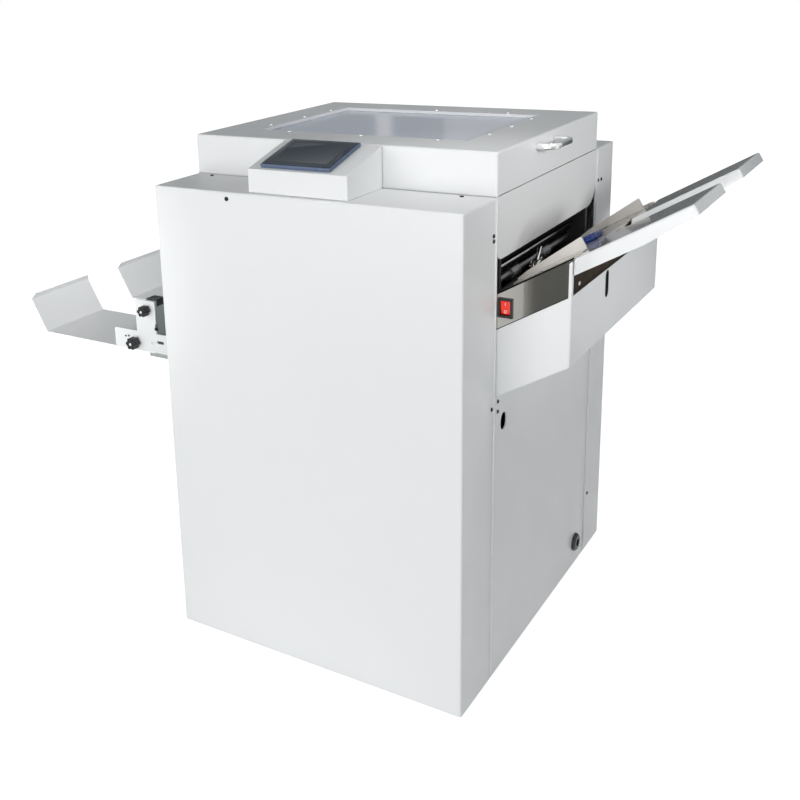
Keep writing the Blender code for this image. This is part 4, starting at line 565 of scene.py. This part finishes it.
def rocker():
    """Rocker with a dished face, rounded edges and its two marks."""
    bezel_gap, bezel_wide, below_table = 0.004, 0.0235, 0.02725
    half_tall, half_wide, out, deep = 0.01115, 0.0077, 0.00155, 0.007
    x = RIGHT_FACE + bezel_gap + bezel_wide / 2
    z = MOUTH_Z + (x - RIGHT_FACE) * TABLE_RISE - below_table
    made = box("rocker", (x - half_wide, FRONT_SEAM - out / 2, z - half_tall),
               (x + half_wide, FRONT_SEAM + deep, z + half_tall))
    edit(made)
    for share in (-0.5, 0, 0.5):
        cut_across((x, FRONT_SEAM, z + share * half_tall), UP)
    back, back_share = FRONT_SEAM + 0.006, 0.58
    pick_points(made, lambda co: co.y > back)
    bpy.ops.transform.resize(value=(1, 1, back_share), center_override=(x, back, z))
    # How far each row of the face moves back, from the pressed lower end to the upper end
    dish = {-1: out * 1.5, -0.5: out * 0.85, 0.5: 0.05 * MM, 1: -out * 0.5}
    for share, shift in dish.items():
        height = z + share * half_tall
        pick_points(made, lambda co: co.y < FRONT_SEAM and abs(co.z - height) < 0.2 * MM)
        bpy.ops.transform.translate(value=(0, shift, 0))
    start()
    soften(made, width=0.0006, steps=3)
    # The rocker's faint red glow is painted light.
    settle(made, PC_RED_PAINTED_GLOW, "switch", ["switch_rocker"])
    half_line, line_low, line_high, printed, rooted = 0.0005, 0.0035, 0.0085, 0.0001, 0.0006
    line = box("switch_line", (x - half_line, FRONT_SEAM - out - printed, z + line_low),
               (x + half_line, FRONT_SEAM - rooted, z + line_high))
    ring_below, ring_radius, ring_long = 0.006, 0.0026, 0.0022
    hole_radius, hole_long = 0.0018, 0.0060
    middle = (x, FRONT_SEAM + rooted, z - ring_below)
    ring = drum("switch_ring", middle, ring_radius, ring_long, ALONG_Y, 24)
    carve(ring, drum("switch_ring_hole", middle, hole_radius, hole_long, ALONG_Y, 24))
    soften(line, width=0.0001)
    settle(merge("switch_marks", [line, ring]), MARK_WHITE, "switch")


def pull():
    """Bright strap pull: a rounded bar out of the lid, round a wide and a tight bend, and back."""
    thick, tall, corner, out = 0.0075, 0.0105, 0.0026, 0.034
    wide_bend, tight_bend = 0.021, 0.009
    y_near, y_far, above_covers, off_lid = -0.0650, 0.0120, 0.0525, 0.0003
    z = COVER_TOP + above_covers
    x_foot = RIGHT_FACE + off_lid
    x_bar = x_foot + out - thick / 2
    start()
    bpy.ops.mesh.primitive_plane_add(size=1, location=(x_foot, y_near, z), rotation=ALONG_X)
    made = fresh("chrome_pull", (tall, thick, 1))
    edit(made, "VERT")
    bpy.ops.mesh.select_all(action="SELECT")
    bpy.ops.mesh.bevel(offset=corner, segments=4, affect="VERTICES")
    bpy.ops.mesh.delete(type="ONLY_FACE")
    bpy.ops.mesh.select_all(action="SELECT")
    push(x_bar - wide_bend - x_foot, 0, 0)
    bpy.ops.mesh.spin(steps=12, angle=-pi / 2, axis=UP,
                      center=(x_bar - wide_bend, y_near + wide_bend, z))
    push(0, y_far - y_near - wide_bend - tight_bend, 0)
    bpy.ops.mesh.spin(steps=8, angle=-pi / 2, axis=UP,
                      center=(x_bar - tight_bend, y_far - tight_bend, z))
    push(x_foot - x_bar + tight_bend, 0, 0)
    close_ends(made)
    settle(made, SATIN_CHROME, "lid", ["lid_handle"])


# Clamp knobs and the bodies that they ride on
KNOBS = (
    ("front_height_knob", "front_height_clamp"),
    ("front_tray_knob", "front_tray_clamp"),
    ("rear_height_knob", "rear_height_clamp"),
    ("rear_tray_knob", "rear_tray_clamp"),
)
# Widths of the height and tray knobs against the pattern
HEIGHT_KNOB, TRAY_KNOB = 0.78, 0.9


def star_knobs():
    """Six-lobed clamp knobs with a raised cap and a screw, in place of the plain ones."""
    radius, thick, lobes = 0.0132, 0.014, 6
    scallop, scallop_ring, scallop_long = 0.0056, 0.0163, 0.020
    rim, sink = 0.0032, 0.0012
    cap_radius, cap_tall, cap_sunk = 0.0062, 0.0024, 0.0008
    neck_radius, neck_tall, neck_below = 0.0069, 0.005, 0.0165
    head = drum("star", (0, 0, -thick / 2), radius, thick, sides=72)
    for turn in range(lobes):
        angle = radians(60 * turn + 30)
        spot = (scallop_ring * cos(angle), scallop_ring * sin(angle), -thick / 2)
        carve(head, drum("scallop", spot, scallop, scallop_long, sides=32))
    step_face(head, UP, rim, -sink)
    soften(head, width=0.0012, steps=3)
    cap = soften(drum("cap", (0, 0, -cap_sunk), cap_radius, cap_tall), width=0.0009, steps=3)
    bolt = screw_head(*KNOB_HEAD)
    neck = soften(drum("neck", (0, 0, -neck_below), neck_radius, neck_tall), width=0.0006)
    deep, stud_radius, bolt_proud = 0.019, 0.003, 0.0003
    for name, body in KNOBS:
        low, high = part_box(name)
        at_rear = name.startswith("rear")
        way, y, lift = ("rear", high.y, bolt_proud) if at_rear else ("front", low.y, -bolt_proud)
        spot = Vector(((low.x + high.x) / 2, y, (low.z + high.z) / 2))
        share = HEIGHT_KNOB if "height" in name else TRAY_KNOB
        turn = FACE_TURNS[way] @ Matrix.Diagonal((share, share, 1, 1))
        length = high.y - low.y - deep
        stud = drum("stud", (0, 0, -deep - length / 2), stud_radius, length, sides=24)
        parts = [twin(part, spot, turn) for part in (head, cap, neck, stud)]
        settle(merge(name + "_star", parts), ABS_BLACK, body, [name])
        end = settle(twin(bolt, spot + Vector((0, lift, 0)), turn), CHROME, body)
        end.name = name + "_bolt"
        drop(stud)
    drop(head, cap, bolt, neck)


def swept_bar(name, spot, radius, legs):
    """A round bar in a plane of constant x, from spot upwards.

    Legs are (length, bend radius, bend angle towards +y).
    """
    start()
    bpy.ops.mesh.primitive_circle_add(vertices=20, radius=radius, location=spot)
    made = fresh(name)
    edit(made, "VERT")
    bpy.ops.mesh.select_all(action="SELECT")
    y, z, lean = spot[1], spot[2], 0.0
    for length, bend, angle in legs:
        step = (0, length * sin(lean), length * cos(lean))
        push(*step)
        y, z = y + step[1], z + step[2]
        if angle:
            way = 1 if angle > 0 else -1
            middle = (y + way * bend * cos(lean), z - way * bend * sin(lean))
            bpy.ops.mesh.spin(steps=8, angle=abs(angle), center=(spot[0], *middle),
                              axis=(-way, 0, 0))
            lean += angle
            y, z = middle[0] - way * bend * cos(lean), middle[1] + way * bend * sin(lean)
    close_ends(made)
    return made


def mouth_rod():
    """Bright guide rod across the mouth."""
    inside, z, radius, length = 0.025, 0.7045, 0.003, 0.388
    rod = drum("mouth_rod", (RIGHT_FACE - inside, 0, z), radius, length, ALONG_Y, 24)
    soften(rod, width=0.0005)
    settle(rod, CHROME, "machine")


def mouth_shade_curtain():
    """Black curtain of sixteen strips, every second one a little lower and further out, as painted
    shade inside the mouth.
    """
    half, strips, low, high = 0.192, 16, 0.6905, 0.7400
    back, front, hem, sway, drop_by = 0.0332, 0.0312, 0.70, 0.0012, 0.0016
    strip = 2 * half / strips
    curtain = box("mouth_shade_curtain", (RIGHT_FACE - back, -half, low),
                  (RIGHT_FACE - front, half, high))
    edit(curtain)
    for share in range(1, strips):
        cut_across((0, -half + strip * share, 0), TO_REAR)
    pick_points(curtain, lambda co: co.z < hem and round((co.y + half) / strip) % 2 == 1)
    bpy.ops.transform.translate(value=(sway, 0, -drop_by))
    start()
    soften(curtain, width=0.0005)
    settle(curtain, FLOCK_PAINTED_SHADE, "machine")


def mouth_shade_seal():
    """Black seal with a lip under the mouth's upper edge, as painted shade of the gap there."""
    back, front, half, low, high = 0.0075, 0.0030, 0.190, 0.7270, 0.7345
    rim, lip = 0.0012, 0.0012
    seal = box("mouth_shade_seal", (RIGHT_FACE - back, -half, low), (RIGHT_FACE - front, half, high))
    step_face(seal, DOWN, rim, lip)
    soften(seal, width=0.0005)
    settle(seal, FLOCK_PAINTED_SHADE, "machine")


def feed_lever():
    """Chrome lever that lifts the feed, bent twice, and its wheel."""
    inside, y, foot, hub = 0.012, -0.036, 0.6740, 0.6810
    bar_radius, wheel_radius, wheel_wide, rim, dish = 0.0032, 0.0085, 0.008, 0.0018, 0.0008
    x = RIGHT_FACE - inside
    legs = [(0.011, 0.010, radians(72)), (0.030, 0.008, radians(-38)), (0.022, 0, 0)]
    lever = swept_bar("feed_lever", (x, y, foot), bar_radius, legs)
    soften(lever, width=0.0006)
    settle(lever, CHROME, "machine")
    wheel = drum("lever_wheel", (x, y, hub), wheel_radius, wheel_wide, ALONG_X, 32)
    edit(wheel)
    pick(wheel, "FACE", lambda face: abs(face.normal.x) > FACING)
    bpy.ops.mesh.inset(thickness=rim, depth=-dish)
    start()
    soften(wheel, width=0.0005)
    settle(wheel, CHROME, "machine")


def guide_clamp():
    """Blue clamp of the guides, lying on the table: a waisted body that narrows to its toe."""
    along, up, half, heel, toe, tall = 0.0945, 0.0006, 0.009, -0.034, 0.029, 0.0085
    end_zone, waist, toe_shares, heel_shares = 0.001, (-0.020, 0.006), (0.45, 1, 0.5), (0.8, 1, 0.6)
    knuckle_y, knuckle_z, knuckle_radius, knuckle_long = -0.024, 0.0055, 0.0052, 0.0196
    clamp = box("guide_clamp", (-half, heel, 0.0), (half, toe, tall))
    edit(clamp)
    for y in waist:
        cut_across((0, y, 0), TO_REAR)
    pick_points(clamp, lambda co: co.y > toe - end_zone)
    bpy.ops.transform.resize(value=toe_shares, center_override=(0, toe, 0))
    pick_points(clamp, lambda co: co.y < heel + end_zone)
    bpy.ops.transform.resize(value=heel_shares, center_override=(0, heel, 0))
    start()
    soften(clamp, width=0.002, steps=4)
    knuckle = drum("clamp_knuckle", (0, knuckle_y, knuckle_z), knuckle_radius, knuckle_long,
                   ALONG_X, 32)
    soften(knuckle, width=0.0006)
    clamp = merge("guide_clamp", [clamp, knuckle])
    lay_on_table(clamp, along, up)
    settle(clamp, NYLON_BLUE, "machine")


def goes_across(edge, least):
    """Whether an edge goes more than a least length along x."""
    return abs(edge.verts[0].co.x - edge.verts[1].co.x) > least


def flange_skin():
    """Brown sheet on the table's flange, whose dark brown is a painted reflection, with its screw.
    """
    face, y, z = 0.4790, -0.1855, 0.7056
    off, thick, half, low, high = 0.00002, 0.0002, 0.2190, 0.6800, 0.7415
    hole_radius, hole_long = 0.0016, 0.004
    # The sheet's dark brown is a painted reflection on the flange's outer face.
    skin = box("flange_skin", (face + off, -half, low), (face + off + thick, half, high))
    carve(skin, drum("skin_hole", (face, y, z), hole_radius, hole_long, ALONG_X, 24))
    edit(skin, "EDGE")
    pick(skin, "EDGE", lambda edge: goes_across(edge, 0.1 * MM)
         and edge.verts[0].co.z > high - 0.5 * MM)
    bpy.ops.mesh.bevel(offset=0.003, segments=3, affect="EDGES")
    start()
    settle(skin, DARK_REFLECTION_SHEET, "machine")
    bolt = screw_head(*SKIN_HEAD)
    screws("skin_screw", bolt, [((face + thick, y, z), "right")], ZINC, "machine")
    drop(bolt)


def slot_shade_plug():
    """Black plug with round ends in the end wall's slot, as painted shade of the slot's inside."""
    low, high, rim, sink = (0.4797, -0.0617, 0.6477), (0.4808, -0.0443, 0.6921), 0.0014, 0.0003
    plug = box("slot_shade_plug", low, high)
    edit(plug, "EDGE")
    pick(plug, "EDGE", lambda edge: goes_across(edge, 0.5 * MM))
    bpy.ops.mesh.bevel(offset=0.0086, segments=8, affect="EDGES")
    start()
    panel_face(plug, TO_RIGHT, (rim, -sink))
    settle(plug, FLOCK_PAINTED_SHADE, "machine")


def rear_fascia():
    """Stainless plate that closes the housing behind the table's rear edge, as the fascia does."""
    left, right, near, far = 0.3652, 0.4785, 0.21955, 0.2210
    low, high, margin, groove, groove_depth = 0.6290, 0.6845, 0.0050, 0.0006, 0.0004
    screw_xs, sunk = (0.3790, 0.4650), 0.0005
    plate = box("rear_fascia", (left, near, low), (right, far, high))
    edit(plate)
    pick_points(plate, lambda co: co.x > (left + right) / 2)
    bpy.ops.transform.translate(value=(0, 0, (right - left) * TABLE_RISE))
    start()
    panel_face(plate, TO_REAR, (margin, 0), (groove, -groove_depth))
    soften(plate, width=0.0004)
    settle(plate, BRUSHED, "machine")
    bolt, middle = screw_head(*PLATE_HEAD), (low + high) / 2
    spots = [((x, far - sunk, middle + (x - left) * TABLE_RISE), "rear") for x in screw_xs]
    screws("rear_fascia_screws", bolt, spots, ZINC, "machine")
    drop(bolt)


def post_caps():
    """Black end caps on the two delivery posts, level with the posts' sides."""
    wide, inset, deep, proud = 0.025, 0.0003, 0.011, 0.0022
    left_in, right_out, rim, sink = 0.0002, 0.0004, 0.0030, 0.0010
    for name in ("front_delivery_post", "rear_delivery_post"):
        low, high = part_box(name)
        middle = (low.y + high.y) / 2
        cap = box(name + "_cap", (low.x + left_in, middle - wide / 2 + inset, high.z - deep),
                  (low.x + wide + right_out, middle + wide / 2 - inset, high.z + proud))
        step_face(cap, UP, rim, -sink)
        soften(cap, width=0.0008, steps=3)
        settle(cap, ABS_BLACK, "machine")


def seam_beads():
    """Folded edges of both covers at the right, a little proud of the middle: they catch light."""
    gap, wide, proud, rooted = 0.0016, 0.0026, 0.0024, 0.0002
    low, below_top = 0.020, 0.003
    out = RIGHT_FACE + proud
    seams = (("front_seam_bead", FRONT_SEAM - gap - wide), ("rear_seam_bead", REAR_SEAM + gap))
    for name, near in seams:
        bead = box(name, (RIGHT_FACE - rooted, near, low),
                   (out, near + wide, COVER_TOP - below_top))
        edit(bead, "EDGE")
        pick(bead, "EDGE", lambda edge: all(end.co.x > out - 0.1 * MM for end in edge.verts))
        bpy.ops.mesh.bevel(offset=0.0007, segments=3, affect="EDGES")
        start()
        settle(bead, POWDER_WHITE, "machine")


def edge_shade_strip():
    """Dark strip on the table beside its front edge: painted shade of the gap there."""
    from_end, near, far, under, over = 0.004, -0.2090, -0.2062, 0.0001, 0.0012
    shade_strip = box("edge_shade_strip", (from_end, near, under), (TABLE_END - from_end, far, over))
    panel_face(shade_strip, UP, (0.0004, 0.0001))
    lay_on_table(shade_strip, 0, 0)
    settle(shade_strip, FLOCK_PAINTED_SHADE, "machine")


# Delivery arms: distance of their outer faces, and x and z of what sits on them
ARM_FACE = 0.2190
SET_SCREWS = ((-0.3957, 0.4984), (-0.3879, 0.4996))
PALE_SCREW = (-0.3297, 0.4936)
LATCH_LEFT, LATCH_RIGHT, LATCH_LOW, LATCH_HIGH = -0.3200, -0.3135, 0.5205, 0.5262
LATCH_OUT, LATCH_RIM, LATCH_CROWN = 0.0024, 0.0010, 0.0006
PIN_X, PIN_Z, PIN_OUT, PIN_RADIUS, PIN_LONG = -0.3168, 0.5290, 0.0014, 0.0011, 0.0085


def arm_hardware():
    """Two set screws, a pale screw and a sprung latch on each delivery arm."""
    dark, pale = screw_head(*SET_HEAD), screw_head(*PALE_HEAD)
    for name, side in (("front", -1), ("rear", 1)):
        face, body = side * ARM_FACE, name + "_arm"
        spots = [((x, face, z), name) for x, z in SET_SCREWS]
        screws(name + "_set_screws", dark, spots, BLACKENED, body)
        spots = [((PALE_SCREW[0], face, PALE_SCREW[1]), name)]
        screws(name + "_arm_screw", pale, spots, ZINC, body)
        near, far = sorted((face, face + side * LATCH_OUT))
        latch = box(name + "_latch", (LATCH_LEFT, near, LATCH_LOW), (LATCH_RIGHT, far, LATCH_HIGH))
        panel_face(latch, TO_REAR * side, (LATCH_RIM, LATCH_CROWN))
        soften(latch, width=0.0005)
        middle = (PIN_X, face + side * PIN_OUT, PIN_Z)
        pin = drum("pin", middle, PIN_RADIUS, PIN_LONG, sides=20)
        soften(pin, width=0.0003)
        settle(merge(name + "_latch", [latch, pin]), BLACKENED, body)
    drop(dark, pale)


def lid_seal():
    """Pale foam strip between the lid's front and the ledge, level with the lid's faces."""
    inset, deep, low, high = 0.0001, 0.006, 0.00005, 0.0015
    left, right = MIDDLE_X - SIDE + inset, RIGHT_FACE - inset
    front = box("lid_seal_front", (left, FRONT_SEAM + inset, COVER_TOP + low),
                (right, FRONT_SEAM + deep, COVER_TOP + high))
    panel_face(front, UP, (0.0006, 0))
    soften(front, width=0.0003)
    settle(front, FOAM, "machine")


# Studio: brightness is a share of white
FLOOR_SIZE = 30
FLOOR_WHITE, FLOOR_PAINT = "#FFFFFF", "#F0F0F0"
FLOOR_LIFT = 0.88
HORIZON_LIGHT, ZENITH_LIGHT = 0.52, 0.12
SKY_TINT = (0.95, 0.985, 1.02)
WHITE = (1, 1, 1, 1)
# Cards that only reflections see: name, lower left and upper right corner, bands of (height in
# metres, brightness), and tint. The first is a dark studio wall behind the machine, the next two
# are the soft light bands in the window, and the last two the fascia's dark and grey halves.
CARDS = (
    ("card_behind", (-5.0, 2.5, 0), (1.8, 2.5, 4.5),
     [(0.0, 0.09), (0.6, 0.10), (1.2, 0.40), (4.5, 0.50)], (0.94, 1.0, 1.03)),
    ("card_window_band", (-1.270, 2.4, 0.9), (-1.195, 2.4, 1.9),
     [(0.0, 0.75), (1.9, 0.75)], (1.0, 1.0, 1.0)),
    ("card_window_right", (-0.95, 2.4, 0.9), (-0.55, 2.4, 1.9),
     [(0.0, 0.58), (1.9, 0.58)], (1.0, 1.0, 1.0)),
    ("card_fascia_dark", (0.037, -1.2, 0), (0.200, -1.2, 0.6),
     [(0.0, 0.12), (0.6, 0.12)], (0.97, 1.0, 0.97)),
    ("card_fascia_grey", (-0.5, -1.2, 0), (0.037, -1.2, 0.6),
     [(0.0, 0.72), (0.6, 0.72)], (1.0, 0.99, 0.98)),
)


def bare_tree(made):
    """The empty node tree of a new material or world."""
    made.use_nodes = True
    made.node_tree.nodes.clear()
    return made.node_tree


def reflection_card(name, low, high, levels, tint):
    """An upright card that only reflections see, brightening in steps from its foot to its top."""
    start()
    middle = (Vector(low) + Vector(high)) / 2
    bpy.ops.mesh.primitive_plane_add(size=1, location=middle, rotation=ALONG_Y)
    card = fresh(name, (high[0] - low[0], high[2] - low[2], 1))
    made = bpy.data.materials.new(name)
    tree = bare_tree(made)
    spot = add_node(tree, "TexCoord").outputs["Object"]
    split = add_node(tree, "SeparateXYZ", inputs={"Vector": spot})
    top = levels[-1][0]
    rise = {"Value": split.outputs["Z"], "From Min": 0.0, "From Max": top}
    share = add_node(tree, "MapRange", inputs=rise)
    ramp = add_node(tree, "ValToRGB", inputs={"Fac": share.outputs["Result"]})
    bands = ramp.color_ramp.elements
    while len(bands) < len(levels):
        bands.new(0.5)
    for band, (height, level) in zip(bands, levels):
        band.position = height / top
        band.color = (*[level * part for part in tint], 1)
    glow = add_node(tree, "Emission", inputs={"Color": ramp.outputs["Color"], "Strength": 1.0})
    add_node(tree, "OutputMaterial", inputs={"Surface": glow.outputs[0]})
    card.data.materials.append(made)
    card.visible_camera = False
    card.visible_diffuse = False
    card.visible_transmission = False
    card.visible_shadow = False


def seen_directly(tree):
    """1 for the rays that see the background: from the camera, mirrored, or through glass."""
    path = add_node(tree, "LightPath")
    seen = path.outputs["Is Camera Ray"]
    for ray in ("Is Glossy Ray", "Is Transmission Ray"):
        either = {0: seen, 1: path.outputs[ray]}
        seen = add_node(tree, "Math", {"operation": "MAXIMUM"}, either).outputs[0]
    return seen


def floor_and_cards():
    """White studio floor that keeps the shadow, and the cards."""
    start()
    bpy.ops.mesh.primitive_plane_add(size=FLOOR_SIZE, location=(0, 0, 0))
    floor = fresh("studio_floor")
    made = bpy.data.materials.new("studio_floor_white")
    tree = bare_tree(made)
    seen = {0: seen_directly(tree), 1: FLOOR_LIFT}
    lift = add_node(tree, "Math", {"operation": "MULTIPLY"}, seen)
    white = {"Color": linear(FLOOR_WHITE), "Strength": lift.outputs[0]}
    glow = add_node(tree, "Emission", inputs=white)
    paint = add_node(tree, "BsdfDiffuse", inputs={"Color": linear(FLOOR_PAINT)})
    both = add_node(tree, "AddShader", inputs={0: paint.outputs[0], 1: glow.outputs[0]})
    add_node(tree, "OutputMaterial", inputs={"Surface": both.outputs[0]})
    floor.data.materials.append(made)
    for card in CARDS:
        reflection_card(*card)


# Lamps: name, place, width, height, power in watts and target
LAMPS = (
    ("key", (-0.2, -4.2, 1.15), 4.0, 2.3, 99, (0.1, 0, 0.6)),
    ("right_fill", (1.9, -0.8, 1.5), 1.0, 1.0, 2.5, (0.36, 0, 0.80)),
    ("left_fill", (-2.2, -1.6, 1.9), 1.4, 1.4, 2.5, (-0.5, 0, 0.5)),
)
# Spots: name, place, target, cone in degrees and power in watts
SPOTS = (
    ("tray_spot", (0.5, -2.3, 1.3), (-0.68, 0.0, 0.52), 12, 225),
    ("right_spot", (2.6, -1.0, 1.5), (0.36, 0.06, 0.90), 17, 108),
    ("ledge_spot", (0.9, -0.1, 2.6), (0.29, -0.300, 0.835), 10, 98),
)
SPOT_BLEND, SPOT_SIZE = 0.6, 0.2


def add_lamp(kind, name, spot, target, power):
    """A lamp that points at its target."""
    bpy.ops.object.light_add(type=kind, location=spot)
    lamp = bpy.context.object
    lamp.name = name
    lamp.data.energy = power
    aim = Vector(target) - Vector(spot)
    lamp.rotation_euler = aim.to_track_quat("-Z", "Y").to_euler()
    return lamp.data


def light():
    """White world for what sees it directly, dimmer and fading upwards for its light, and lamps."""
    world = bpy.data.worlds.new("studio")
    bpy.context.scene.world = world
    tree = bare_tree(world)
    seen = seen_directly(tree)
    way = add_node(tree, "TexCoord").outputs["Generated"]
    split = add_node(tree, "SeparateXYZ", inputs={"Vector": way})
    fade = {"Value": split.outputs["Z"], "From Min": 0.0, "From Max": 1.0,
            "To Min": HORIZON_LIGHT, "To Max": ZENITH_LIGHT}
    level = add_node(tree, "MapRange", inputs=fade).outputs["Result"]
    soft = add_node(tree, "VectorMath", {"operation": "SCALE"}, {0: SKY_TINT, "Scale": level})
    either = {"Factor": seen, MIX_FIRST: soft.outputs["Vector"], MIX_SECOND: WHITE}
    shown = add_node(tree, "Mix", {"data_type": "RGBA"}, either).outputs[MIX_COLOUR]
    sky = add_node(tree, "Background", inputs={"Color": shown, "Strength": 1.0})
    add_node(tree, "OutputWorld", inputs={"Surface": sky.outputs[0]})
    for name, spot, wide, tall, power, target in LAMPS:
        lamp = add_lamp("AREA", name, spot, target, power)
        lamp.shape, lamp.size, lamp.size_y = "RECTANGLE", wide, tall
    for name, spot, target, cone, power in SPOTS:
        lamp = add_lamp("SPOT", name, spot, target, power)
        lamp.spot_size, lamp.spot_blend = radians(cone), SPOT_BLEND
        lamp.shadow_soft_size = SPOT_SIZE


set_camera()
dress_solids()
fasteners()
keyhole()
console_screen()
rocker()
pull()
star_knobs()
mouth_rod()
mouth_shade_curtain()
mouth_shade_seal()
feed_lever()
guide_clamp()
flange_skin()
slot_shade_plug()
rear_fascia()
post_caps()
seam_beads()
edge_shade_strip()
arm_hardware()
lid_seal()
floor_and_cards()
light()

bpy.context.scene.view_settings.view_transform = "Standard"
